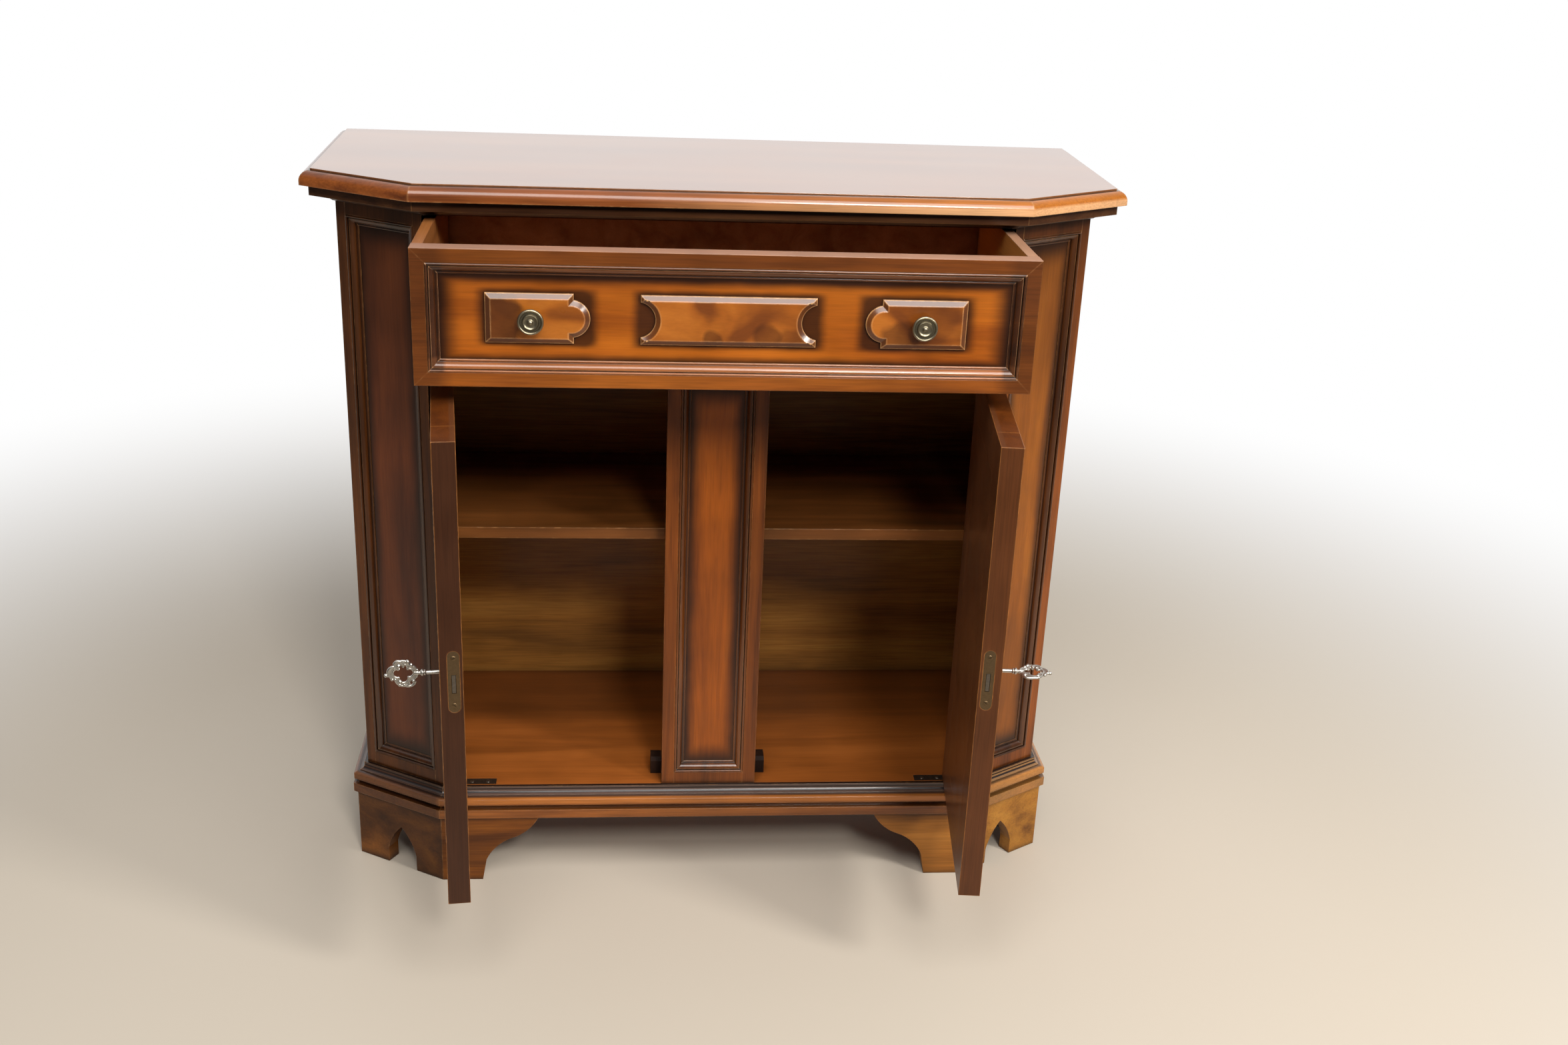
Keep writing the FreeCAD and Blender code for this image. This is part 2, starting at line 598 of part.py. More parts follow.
def corner_frames():
    """Canted corners: frame, panel and moulding, square at the door jamb and mitred to the side board."""
    height = TOP_UNDERSIDE - PLINTH_TOP
    rail_top = CORNER_RAIL_TOP + BED_HEIGHT
    frame, panel, moulding = framed_panel(CANT_LENGTH, height, CORNER_FACE, CORNER_RAIL_BOTTOM,
                                          rail_top, CORNER_THICKNESS)
    place = upright(Vec(HALF_FRONT, 0, PLINTH_TOP), CANT_ALONG)
    deep = corner_mitre(MITRE_REACH)
    room = prism([(HALF_FRONT, -CUT), corner_mitre(-CUT), deep, (HALF_FRONT, deep[1])], (0, TOTAL_HEIGHT))
    frame = [s.common(room).Solids[0] for s in placed(frame, place)]
    return frame, placed(panel, place), placed(moulding, place)


def bolt_slot(x, clearance):
    """Room for a lock bolt between two x limits, in the closed door or in the post."""
    half_y = BOLT_THICKNESS / 2 + clearance
    half_z = BOLT_HEIGHT / 2 + clearance
    return box(x, (LOCK_DEPTH - half_y, LOCK_DEPTH + half_y), (BOLT_Z - half_z, BOLT_Z + half_z))


def strike_plate():
    """Strike plate on the post's right side, with a slot for the bolt."""
    half = LOCK_PLATE_WIDTH / 2
    plate = box((HALF_POST - STRIKE_THICKNESS, HALF_POST), (LOCK_DEPTH - half, LOCK_DEPTH + half),
                (BOLT_Z - STRIKE_LENGTH / 2, BOLT_Z + STRIKE_LENGTH / 2))
    return plate.cut(bolt_slot((HALF_POST - STRIKE_DEPTH, HALF_POST + CUT), BOLT_CLEARANCE))


def strike_plates():
    return [strike_plate()] + mirrored([strike_plate()])


def centre_post():
    """The fixed post between the doors, with a mortise for each lock bolt."""
    height = DECK_UNDERSIDE - PLINTH_TOP
    frame, panel, moulding = framed_panel(POST_WIDTH, height, POST_FACE, POST_FACE, POST_FACE,
                                          DOOR_THICKNESS)
    place = upright(Vec(-HALF_POST, 0, PLINTH_TOP), Vec(1, 0, 0))
    plate = strike_plate()
    mortise = bolt_slot((HALF_POST - STRIKE_DEPTH, HALF_POST + CUT), BOLT_CLEARANCE)
    frame = cut_all(placed(frame, place), [plate, mortise] + mirrored([plate, mortise]))
    return frame, placed(panel, place), placed(moulding, place)


def door_stops():
    """A small chamfered block behind each closed door, against the post's side."""
    x, y = HALF_POST, DOOR_THICKNESS + FIT
    steps = [(y, PLINTH_TOP), (y + STOP_DEPTH, PLINTH_TOP), (y + STOP_DEPTH, PLINTH_TOP + STOP_HEIGHT),
             (y + STOP_CHAMFER, PLINTH_TOP + STOP_HEIGHT), (y, PLINTH_TOP + STOP_HEIGHT - STOP_CHAMFER)]
    face = Part.Face(outline(steps, lambda depth, z: Vec(x, depth, z)))
    block = face.extrude(Vec(STOP_WIDTH, 0, 0))
    return [block] + mirrored([block])


# Drawer, drawn closed

def drawer_front():
    frame, panel, moulding = framed_panel(2 * HALF_DRAWER, DRAWER_TOP - DRAWER_BOTTOM, DRAWER_FACE,
                                          DRAWER_FACE, DRAWER_FACE, DRAWER_FRONT_THICKNESS,
                                          flush=True, mitred=True)
    place = upright(Vec(-HALF_DRAWER, 0, DRAWER_BOTTOM), Vec(1, 0, 0))
    holes = [knob_bolt(x) for x in knob_places()]
    return placed(frame, place), cut_all(placed(panel, place), holes), placed(moulding, place)


def drawer_box():
    """Sides with a groove for the bottom, a lower back, and the bottom that slides in under the back."""
    front = DRAWER_FRONT_THICKNESS
    low = DECK_TOP + FIT
    floor = (low + DRAWER_BOTTOM_RISE, low + DRAWER_BOTTOM_RISE + DRAWER_BOTTOM_THICKNESS)
    side = box((DRAWER_SIDE_INNER, DRAWER_SIDE_OUTER), (front, DRAWER_DEPTH), (low, DRAWER_TOP))
    groove_depth = (DRAWER_SIDE_INNER - CUT, DRAWER_SIDE_INNER + DRAWER_GROOVE)
    groove = box(groove_depth, (front - CUT, DRAWER_DEPTH + CUT), floor)
    right = [side.cut(groove)]
    back = box((-DRAWER_SIDE_INNER, DRAWER_SIDE_INNER), (DRAWER_DEPTH - DRAWER_SIDE_THICKNESS, DRAWER_DEPTH),
               (floor[1], DRAWER_TOP - DRAWER_BACK_DROP))
    reach = DRAWER_SIDE_INNER + DRAWER_GROOVE - SEAT
    bottom = box((-reach, reach), (front, DRAWER_DEPTH), floor)
    return mirrored(right), right, [back], [bottom]


def drawer_guides():
    start = HALF_DRAWER + FIT
    depth = (CORNER_THICKNESS / CANT_ALONG.x + GUIDE_WIDTH, BACK_FRONT)
    guide = box((start, start + GUIDE_WIDTH), depth, (DECK_TOP, DECK_TOP + GUIDE_HEIGHT))
    return [guide] + mirrored([guide])


def drawer_kickers():
    """Strips above the drawer's sides, which keep the pulled drawer from tipping."""
    outer = DRAWER_SIDE_OUTER
    kicker = box((outer - KICKER_WIDTH, outer), (TOP_RAIL_DEPTH, BACK_FRONT), (RAIL_UNDERSIDE, TOP_UNDERSIDE))
    return [kicker] + mirrored([kicker])


def raised_plaque(steps_at):
    """An applied plaque with a square edge and a bevel up to its flat field."""
    back = PANEL_RECESS
    levels = ((0.0, back), (0.0, back - PLAQUE_EDGE), (PLAQUE_BEVEL, back - PLAQUE_EDGE - PLAQUE_RISE))
    wires = [outline(steps_at(inset), lambda x, z: Vec(x, y, z)) for inset, y in levels]
    edge = Part.Face(wires[0]).extrude(Vec(0, -PLAQUE_EDGE, 0))
    bevel = Part.makeLoft(wires[1:], True, True)
    return edge.fuse(bevel)


def end_plaque_outline(inset):
    """Right plaque: square at its outer end, a round lobe at its inner end."""
    half = PLAQUE_HEIGHT / 2 - inset
    low, high = DRAWER_MIDDLE - half, DRAWER_MIDDLE + half
    outer, inner = END_PLAQUE_OUTER - inset, END_PLAQUE_INNER + inset
    tip = END_PLAQUE_INNER - LOBE_REACH + inset
    radius = LOBE_RADIUS - inset
    chord = math.sqrt(radius ** 2 - (tip + radius - inner) ** 2)
    return [(outer, low), (outer, high), (inner, high), (inner, DRAWER_MIDDLE + chord),
            ((tip, DRAWER_MIDDLE), (inner, DRAWER_MIDDLE - chord)), (inner, low)]


def centre_plaque_outline(inset):
    """Centre plaque: a hollow arc in each end."""
    half = PLAQUE_HEIGHT / 2 - inset
    low, high = DRAWER_MIDDLE - half, DRAWER_MIDDLE + half
    end = HALF_CENTRE_PLAQUE - inset
    deep = HALF_CENTRE_PLAQUE - HOLLOW_DEPTH - inset
    radius = HOLLOW_RADIUS + inset
    chord = math.sqrt(radius ** 2 - (deep + radius - end) ** 2)
    top, foot = DRAWER_MIDDLE + chord, DRAWER_MIDDLE - chord
    return [(-end, low), (-end, foot), ((-deep, DRAWER_MIDDLE), (-end, top)), (-end, high),
            (end, high), (end, top), ((deep, DRAWER_MIDDLE), (end, foot)), (end, low)]


def knob_places():
    return (-KNOB_X, KNOB_X)


def knob_bolt(x):
    """The bolt that holds a knob, through plaque and panel."""
    front = PANEL_RECESS - PLAQUE_EDGE - PLAQUE_RISE
    length = DRAWER_FRONT_THICKNESS - front
    return Part.makeCylinder(KNOB_BOLT_RADIUS, length, Vec(x, front, DRAWER_MIDDLE), Vec(0, 1, 0))


def knob(x):
    """A turned knob: spreading foot, neck, and a head with rim, sunk ring, raised disc and button."""
    seat = PANEL_RECESS - PLAQUE_EDGE - PLAQUE_RISE
    crest = KNOB_STAND + KNOB_HEAD
    foot = (KNOB_FOOT_RADIUS, KNOB_FOOT)
    neck = (KNOB_NECK_RADIUS, KNOB_STAND)
    edge = (KNOB_RADIUS, crest - KNOB_RIM / 2)
    rim = (KNOB_RADIUS - KNOB_RIM, crest - KNOB_RIM / 2)
    disc = (KNOB_DISC_RADIUS, crest - KNOB_DISH)
    disc_top = (KNOB_DISC_RADIUS - KNOB_DISH, crest - KNOB_DISH + KNOB_DISC_RISE)
    button = (KNOB_BUTTON_RADIUS, crest - KNOB_DISH + KNOB_DISC_RISE - KNOB_DISH / 2)
    button_side = (button[0] * math.sqrt(0.5), button[1] + button[0] * math.sqrt(0.5))
    tip = (0.0, button[1] + button[0])
    underside = (KNOB_RADIUS - KNOB_RIM, KNOB_STAND + KNOB_RIM / 4)
    steps = [(0.0, 0.0), (KNOB_FOOT_RADIUS, 0.0), foot, (swell(foot, neck, KNOB_RIM / 4), neck),
             underside, (swell(underside, edge, -KNOB_RIM / 4), edge), (swell(edge, rim, -KNOB_RIM / 2), rim),
             disc, (swell(disc, disc_top, -KNOB_DISH / 3), disc_top), button, (button_side, tip)]
    face = Part.Face(outline(steps, lambda r, out: Vec(r, 0, out)))
    head = face.revolve(Vec(0, 0, 0), Vec(0, 0, 1), 360)
    head.rotate(Vec(0, 0, 0), Vec(1, 0, 0), 90)
    head.translate(Vec(x, seat, DRAWER_MIDDLE))
    return head.fuse(knob_bolt(x))


# Doors, drawn closed on the right

def keyhole(y, radius):
    """A round hole with a slot under it for the key's bit."""
    hole = Part.makeCylinder(radius, y[1] - y[0], Vec(KEY_X, y[0], LOCK_HEIGHT), Vec(0, 1, 0))
    half = BIT_THICKNESS / 2 + BOLT_CLEARANCE
    slot = box((KEY_X - half, KEY_X + half), y, (LOCK_HEIGHT - BIT_REACH - BOLT_CLEARANCE, LOCK_HEIGHT))
    return hole.fuse(slot).removeSplitter()


def lock_case():
    """A hollow lock case with its rounded plate in the door's free edge."""
    half = CASE_THICKNESS / 2
    inner = half - CASE_WALL
    low, high = LOCK_HEIGHT - CASE_HEIGHT / 2, LOCK_HEIGHT + CASE_HEIGHT / 2
    start = DOOR_FREE + LOCK_PLATE_THICKNESS
    case = box((start, start + CASE_LENGTH), (LOCK_DEPTH - half, LOCK_DEPTH + half), (low, high))
    room = box((start, start + CASE_LENGTH - CASE_WALL), (LOCK_DEPTH - inner, LOCK_DEPTH + inner),
               (low + CASE_WALL, high - CASE_WALL))
    front = keyhole((LOCK_DEPTH - half - CUT, LOCK_DEPTH), KEYHOLE_RADIUS)
    case = case.cut(room).cut(front).fuse(lock_plate()).removeSplitter()
    return case.cut(bolt_slot((DOOR_FREE - CUT, start + CUT), BOLT_CLEARANCE))


def lock_plate():
    """The lock's face plate, with half-round ends."""
    half = LOCK_PLATE_WIDTH / 2
    straight = LOCK_PLATE_LENGTH / 2 - half
    y0, y1 = LOCK_DEPTH - half, LOCK_DEPTH + half
    low, high = LOCK_HEIGHT - straight, LOCK_HEIGHT + straight
    steps = [(y0, low), ((LOCK_DEPTH, low - half), (y1, low)), (y1, high),
             ((LOCK_DEPTH, high + half), (y0, high))]
    face = Part.Face(outline(steps, lambda y, z: Vec(DOOR_FREE, y, z)))
    return face.extrude(Vec(LOCK_PLATE_THICKNESS, 0, 0))


def lock_mortise():
    half = CASE_THICKNESS / 2
    deep = DOOR_FREE + LOCK_PLATE_THICKNESS + CASE_LENGTH
    return box((DOOR_FREE, deep), (LOCK_DEPTH - half, LOCK_DEPTH + half),
               (LOCK_HEIGHT - CASE_HEIGHT / 2, LOCK_HEIGHT + CASE_HEIGHT / 2))


def lock_bolt():
    return bolt_slot((DOOR_FREE + FIT, DOOR_FREE + FIT + BOLT_LENGTH), 0.0)


def door_hinge_leaves():
    """Leaves let into the door's bottom and top edges, bored for the pins."""
    leaves = []
    for low in (DOOR_BOTTOM, DOOR_TOP - HINGE_THICKNESS):
        bore = Part.makeCylinder(PIN_RADIUS + PIN_CLEARANCE, HINGE_THICKNESS, Vec(PIVOT.x, PIVOT.y, low))
        leaves.append(hinge_pocket(low).cut(bore))
    return leaves


def pin_rooms():
    """Holes in the door's edges above the leaves, where the pins end."""
    radius = PIN_RADIUS + FIT
    depth = PIN_LENGTH + FIT
    return [Part.makeCylinder(radius, depth, Vec(PIVOT.x, PIVOT.y, DOOR_BOTTOM)),
            Part.makeCylinder(radius, depth, Vec(PIVOT.x, PIVOT.y, DOOR_TOP - depth))]


def door():
    """Frame with its hinge pockets, lock mortise and keyhole, then panel and moulding."""
    frame, panel, moulding = framed_panel(DOOR_EDGE - DOOR_FREE, DOOR_TOP - DOOR_BOTTOM, DOOR_FACE,
                                          DOOR_FACE, DOOR_FACE, DOOR_THICKNESS, flush=True)
    place = upright(Vec(DOOR_FREE, 0, DOOR_BOTTOM), Vec(1, 0, 0))
    pockets = [hinge_pocket(DOOR_BOTTOM), hinge_pocket(DOOR_TOP - HINGE_THICKNESS)] + pin_rooms()
    lock = [lock_mortise(), lock_plate(), keyhole((-CUT, LOCK_DEPTH), KEYHOLE_RADIUS)]
    return cut_all(placed(frame, place), pockets + lock), placed(panel, place), placed(moulding, place)


def key_bow():
    """A bow of four lobes and a tip round a four-lobed opening, drawn outwards from its start."""
    def disc(out, up, radius):
        return Part.makeCylinder(radius, BOW_THICKNESS, Vec(-BOW_THICKNESS / 2, -out, up), Vec(1, 0, 0))
    near, far = BOW_MIDDLE - BOW_LOBE_ALONG, BOW_MIDDLE + BOW_LOBE_ALONG
    lobes = [disc(out, up, BOW_LOBE_RADIUS)
             for out in (near, far) for up in (-BOW_LOBE_ASIDE, BOW_LOBE_ASIDE)]
    tip = BOW_LENGTH - BOW_TIP_RADIUS
    ends = [disc(tip, 0, BOW_TIP_RADIUS), disc((tip + far) / 2, 0, 2 * BOW_TIP_RADIUS),
            disc(0, 0, BOW_ROOT_RADIUS), disc(near, 0, BOW_LOBE_RADIUS), disc(far, 0, BOW_LOBE_RADIUS)]
    eyes = [disc(BOW_MIDDLE + i * BOW_EYE_RADIUS, j * BOW_EYE_RADIUS, BOW_EYE_RADIUS)
            for i, j in ((0, 0), (1, 0), (-1, 0), (0, 1), (0, -1))]
    return lobes[0].fuse(lobes[1:] + ends).cut(eyes[0].fuse(eyes[1:])).removeSplitter()


def key(turn):
    """A key in the closed right door's lock: bow, collar, shank and bit, turned about its shank."""
    axis = Vec(0, -1, 0)
    shank = Part.makeCylinder(SHANK_RADIUS, SHANK_INSIDE + SHANK_OUTSIDE, Vec(0, SHANK_INSIDE, 0), axis)
    collar = Part.makeCylinder(KEY_COLLAR_RADIUS, KEY_COLLAR, Vec(0, -KEY_COLLAR_PLACE, 0), axis)
    bow = key_bow()
    bow.translate(Vec(0, -SHANK_OUTSIDE, 0))
    half = BIT_THICKNESS / 2
    bit = box((-half, half), (SHANK_INSIDE - BIT_LENGTH, SHANK_INSIDE), (-BIT_REACH, 0))
    whole = shank.fuse([collar, bow, bit]).removeSplitter()
    whole.rotate(Vec(0, 0, 0), axis, turn)
    whole.translate(Vec(KEY_X, 0, LOCK_HEIGHT))
    return whole


def save(name, solids):
    """Writes one piece, moved so that the origin is where the cabinet's frame has it."""
    moved = [s.translated(Vec(0, -ORIGIN_SETBACK, 0)) for s in solids]
    shape = moved[0] if len(moved) == 1 else Part.makeCompound(moved)
    shape.exportStep(os.path.join("parts", name + ".step"))


def carcass_pieces():
    left_side, right_side = side_boards()
    frame, panel, moulding = corner_frames()
    post_frame, post_panel, post_moulding = centre_post()
    pins = right_shelf_pins()
    pieces = {
        "top_panel": top_panel(), "top_edge_moulding": top_edge_moulding(), "bed_moulding": bed_moulding(),
        "top_rail": top_rail(), "left_side_board": left_side, "right_side_board": right_side,
        "left_corner_frame": mirrored(frame), "right_corner_frame": frame,
        "left_corner_panel": mirrored(panel), "right_corner_panel": panel,
        "left_corner_moulding": mirrored(moulding), "right_corner_moulding": moulding,
        "back_panel": back_panel(), "floor_board": floor_board(), "drawer_deck": drawer_deck(),
        "drawer_guides": drawer_guides(), "drawer_kickers": drawer_kickers(),
        "centre_post_frame": post_frame, "centre_post_panel": post_panel,
        "centre_post_moulding": post_moulding,
        "shelf": shelf(), "shelf_pins": pins + mirrored(pins), "plinth_moulding": plinth_moulding(),
        "base_frame": base_frame(), "foot_blocks": foot_blocks(),
        "carcass_hinge_plates": carcass_hinge_plates(), "door_stops": door_stops(),
        "strike_plates": strike_plates()}
    pieces.update(feet())
    return pieces


def drawer_pieces():
    frame, panel, moulding = drawer_front()
    left, right, back, bottom = drawer_box()
    bolts = [knob_bolt(x) for x in knob_places()]
    end_plaque = raised_plaque(end_plaque_outline)
    pieces = {
        "drawer_front_frame": frame, "drawer_front_panel": panel, "drawer_front_moulding": moulding,
        "drawer_left_plaque": cut_all(mirrored([end_plaque]), bolts[:1]),
        "drawer_centre_plaque": [raised_plaque(centre_plaque_outline)],
        "drawer_right_plaque": cut_all([end_plaque], bolts[1:]),
        "drawer_knobs": [knob(x) for x in knob_places()],
        "drawer_left_side": left, "drawer_right_side": right, "drawer_back": back, "drawer_bottom": bottom}
    pulled = Vec(0, -DRAWER_PULLED, 0)
    return {name: [s.translated(pulled) for s in solids] for name, solids in pieces.items()}


def door_pieces():
    """The right door swung open, and the left one as its mirror image."""
    frame, panel, moulding = door()
    right = {"door_frame": frame, "door_panel": panel, "door_moulding": moulding,
             "door_hinge_leaves": door_hinge_leaves(), "lock_case": [lock_case()], "lock_bolt": [lock_bolt()]}
    pieces = {}
    for name, solids in right.items():
        opened = turned(solids, DOOR_OPENING)
        pieces["right_" + name] = opened
        pieces["left_" + name] = mirrored(opened)
    pieces["right_key"] = turned([key(RIGHT_KEY_TURN)], DOOR_OPENING)
    pieces["left_key"] = mirrored(turned([key(LEFT_KEY_TURN)], DOOR_OPENING))
    return pieces


os.makedirs("parts", exist_ok=True)
for group in (carcass_pieces(), drawer_pieces(), door_pieces()):
    for piece_name, piece_solids in group.items():
        save(piece_name, piece_solids)
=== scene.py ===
import json
import math

import bpy
from mathutils import Euler, Matrix, Vector


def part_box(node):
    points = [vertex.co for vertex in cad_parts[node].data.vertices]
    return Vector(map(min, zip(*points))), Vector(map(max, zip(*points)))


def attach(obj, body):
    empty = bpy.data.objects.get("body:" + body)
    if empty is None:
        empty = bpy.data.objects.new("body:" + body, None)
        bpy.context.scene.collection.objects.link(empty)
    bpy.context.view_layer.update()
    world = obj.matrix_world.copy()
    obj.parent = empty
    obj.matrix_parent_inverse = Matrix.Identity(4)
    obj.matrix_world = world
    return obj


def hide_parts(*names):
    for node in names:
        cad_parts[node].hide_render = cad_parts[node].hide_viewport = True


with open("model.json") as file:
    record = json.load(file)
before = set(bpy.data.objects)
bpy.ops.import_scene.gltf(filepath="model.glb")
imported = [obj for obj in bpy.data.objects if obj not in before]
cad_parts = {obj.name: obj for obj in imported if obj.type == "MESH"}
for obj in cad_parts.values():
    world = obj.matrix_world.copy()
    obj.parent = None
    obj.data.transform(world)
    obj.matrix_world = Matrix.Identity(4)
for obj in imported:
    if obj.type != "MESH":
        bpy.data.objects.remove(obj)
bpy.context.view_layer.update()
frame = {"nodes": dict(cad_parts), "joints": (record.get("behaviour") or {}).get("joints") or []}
nodes = frame["nodes"]
joints = {joint["name"]: joint for joint in frame["joints"]}
mm = 0.001
right = Vector((1, 0, 0))
rearward = Vector((0, 1, 0))
upward = Vector((0, 0, 1))
cantAngle = math.radians(31.234)       # how far the canted corners turn back from the front
print("frame loaded:", len(nodes), "nodes")


# Small helpers

def linearColour(hexText):
    parts = [int(hexText[i:i + 2], 16) / 255 for i in (1, 3, 5)]
    curve = [p / 12.92 if p <= 0.04045 else ((p + 0.055) / 1.055) ** 2.4 for p in parts]
    return (*curve, 1.0)


def addNode(tree, kind, inputs=None, **settings):
    node = tree.nodes.new("ShaderNode" + kind)
    for name, value in settings.items():
        setattr(node, name, value)
    for socket, value in (inputs or {}).items():
        if isinstance(value, bpy.types.NodeSocket):
            tree.links.new(value, node.inputs[socket])
        else:
            node.inputs[socket].default_value = value
    return node


def newMaterial(name):
    material = bpy.data.materials.new(name)
    material.use_nodes = True
    tree = material.node_tree
    tree.nodes.clear()
    place = addNode(tree, "TexCoord").outputs["Object"]
    return material, tree, place


def showSurface(tree, surface):
    addNode(tree, "OutputMaterial", {"Surface": surface.outputs[0]})


def paint(material, *names):
    for name in names:
        piece = nodes[name] if isinstance(name, str) else name
        if not piece.material_slots:
            piece.data.materials.append(None)
        for slot in piece.material_slots:
            slot.material = material


# Stained and lacquered woods

grainTurns = {"upright": (0, 0, 0), "level": (0, math.pi / 2, 0), "across": (math.pi / 2, 0, 0)}
# what all the woods share; a cut is the two levels that a change runs between
woodBase = {"figureRough": 0.55, "poreStretch": 3, "poreDetail": 2.0, "poreRough": 0.6,
            "poreCut": (0.35, 0.6), "cloudDetail": 2.0, "cloudCut": (0.3, 0.7), "creviceCut": (0.92, 0.45),
            "chipMm": 9, "chipDetail": 3.0, "chipCut": (0.5, 0.66), "reliefMm": 0.4, "rays": 6}


def stainedWood(name, look, zones=()):
    material, tree, place = newMaterial(name)
    poreLow, poreHigh = woodBase["poreCut"]
    cloudLow, cloudHigh = woodBase["cloudCut"]
    creviceLow, creviceHigh = woodBase["creviceCut"]
    chipLow, chipHigh = woodBase["chipCut"]
    along = addNode(tree, "Mapping", {
        "Vector": place, "Rotation": grainTurns[look["grain"]], "Scale": (1, 1, look["stretch"])},
        vector_type="TEXTURE").outputs[0]
    fine = addNode(tree, "Mapping", {
        "Vector": along, "Scale": (1, 1, woodBase["poreStretch"])}, vector_type="TEXTURE").outputs[0]
    figure = addNode(tree, "TexNoise", {
        "Vector": along, "Scale": 1 / (look["bandMm"] * mm), "Roughness": woodBase["figureRough"],
        "Detail": look["detail"], "Distortion": look["swirl"]}).outputs[0]
    pores = addNode(tree, "TexNoise", {
        "Vector": fine, "Scale": 1 / (look["poreMm"] * mm), "Detail": woodBase["poreDetail"],
        "Roughness": woodBase["poreRough"]}).outputs[0]
    cloud = addNode(tree, "TexNoise", {
        "Vector": place, "Scale": 1 / (look["cloudMm"] * mm), "Detail": woodBase["cloudDetail"]}).outputs[0]
    ramp = addNode(tree, "ValToRGB", {"Fac": figure})
    ramp.color_ramp.elements.new(look["stops"][1])
    for stop, at, colour in zip(ramp.color_ramp.elements, look["stops"], look["stain"]):
        stop.position = at
        stop.color = linearColour(colour)
    streak = addNode(tree, "MapRange", {
        0: pores, 1: poreLow, 2: poreHigh, 3: 1 - look["pores"], 4: 1.0}).outputs[0]
    uneven = addNode(tree, "MapRange", {
        0: cloud, 1: cloudLow, 2: cloudHigh, 3: 1 - look["cloud"], 4: 1 + look["cloud"]}).outputs[0]
    tone = addNode(tree, "Math", {0: streak, 1: uneven}, operation="MULTIPLY").outputs[0]
    colour = addNode(tree, "Mix", {0: 1.0, 6: ramp.outputs[0], 7: tone},
                     data_type="RGBA", blend_type="MULTIPLY").outputs[2]
    for reach, stain in zones:
        patch = addNode(tree, "Mix", {0: 1.0, 6: linearColour(stain), 7: tone},
                        data_type="RGBA", blend_type="MULTIPLY").outputs[2]
        colour = addNode(tree, "Mix", {0: reach(tree, place), 6: colour, 7: patch},
                         data_type="RGBA").outputs[2]
    # inner corners are dark with old polish
    corner = addNode(tree, "AmbientOcclusion", {"Distance": look["creviceMm"] * mm},
                     samples=woodBase["rays"]).outputs["AO"]
    gathered = addNode(tree, "MapRange", {
        0: corner, 1: creviceLow, 2: creviceHigh, 3: 0.0, 4: look["crevice"]}).outputs[0]
    colour = addNode(tree, "Mix", {0: gathered, 6: colour, 7: linearColour(look["edgeStain"])},
                     data_type="RGBA").outputs[2]
    # outer edges are rubbed pale, most of all in chips
    arris = addNode(tree, "AmbientOcclusion", {"Distance": look["wearMm"] * mm}, samples=woodBase["rays"],
                    inside=True, only_local=True).outputs["AO"]
    chips = addNode(tree, "TexNoise", {
        "Vector": place, "Scale": 1 / (woodBase["chipMm"] * mm), "Detail": woodBase["chipDetail"]}).outputs[0]
    rubbed = addNode(tree, "MapRange", {
        0: chips, 1: chipLow, 2: chipHigh, 3: look["wear"] * look["rubbed"], 4: look["wear"]}).outputs[0]
    bared = addNode(tree, "MapRange", {
        0: arris, 1: look["wearFrom"], 2: look["wearTo"], 3: 0.0, 4: rubbed}).outputs[0]
    colour = addNode(tree, "Mix", {0: bared, 6: colour, 7: linearColour(look["bare"])},
                     data_type="RGBA").outputs[2]
    rough = addNode(tree, "MapRange", {
        0: cloud, 1: cloudLow, 2: cloudHigh, 3: look["rough"] - look["smear"],
        4: look["rough"] + look["smear"]}).outputs[0]
    rounded = addNode(tree, "Bevel", {"Radius": look["roundMm"] * mm}, samples=woodBase["rays"]).outputs[0]
    relief = addNode(tree, "Bump", {
        "Height": pores, "Strength": look["bump"], "Distance": woodBase["reliefMm"] * mm,
        "Normal": rounded}).outputs[0]
    surface = addNode(tree, "BsdfPrincipled", {
        "Base Color": colour, "Roughness": rough, "Normal": relief, "Specular IOR Level": look["specular"],
        "Coat Weight": look["coat"], "Coat Roughness": look["coatRough"], "Coat Normal": rounded})
    showSurface(tree, surface)
    return material


# Mahogany stained and French polished: red-brown with dark inner corners and a soft shine
frameWood = {"stain": ("#462008", "#743A0C", "#8C4812"), "stops": (0.3, 0.5, 0.72), "edgeStain": "#160A05",
             "bare": "#B08050", "grain": "upright", "stretch": 12, "bandMm": 26, "detail": 4.0, "swirl": 0.6,
             "poreMm": 1.6, "pores": 0.22, "cloudMm": 90, "cloud": 0.14, "crevice": 0.85, "creviceMm": 9,
             "wear": 0.55, "wearMm": 1.4, "rubbed": 0.25, "wearFrom": 0.85, "wearTo": 0.4, "rough": 0.42,
             "smear": 0.07, "bump": 0.1, "roundMm": 1.0, "coat": 0.45, "coatRough": 0.2, "specular": 0.16}
levelWood = dict(frameWood, grain="level")
postWood = dict(frameWood, stain=("#42200A", "#6C360C", "#824412"))
sideWood = dict(frameWood, stain=("#5A2C14", "#84481D", "#9A5824"), bandMm=45, crevice=0.5)
# mouldings are darker and more polished, and shine in narrow lines
mouldingWood = dict(frameWood, stain=("#321808", "#5A2E0E", "#764014"), creviceMm=6, wear=0.8, wearMm=1.0,
                    rubbed=0.45, coat=1.0, coatRough=0.16)
cornerMouldingWood = dict(mouldingWood, stain=("#261207", "#45240C", "#5C3212"), wear=0.6)
levelMouldingWood = dict(mouldingWood, grain="level")
# the bed moulding's darker stain paints the shade under the top's edge
bedShadeWood = dict(levelMouldingWood, stain=("#28140A", "#402412", "#54341C"), wear=0.4, coat=0.4)
plinthWood = dict(levelMouldingWood, stain=("#5E3212", "#844A1A", "#9C5C24"), creviceMm=9, crevice=0.65,
                  wear=0.8, coat=0.6, coatRough=0.2)
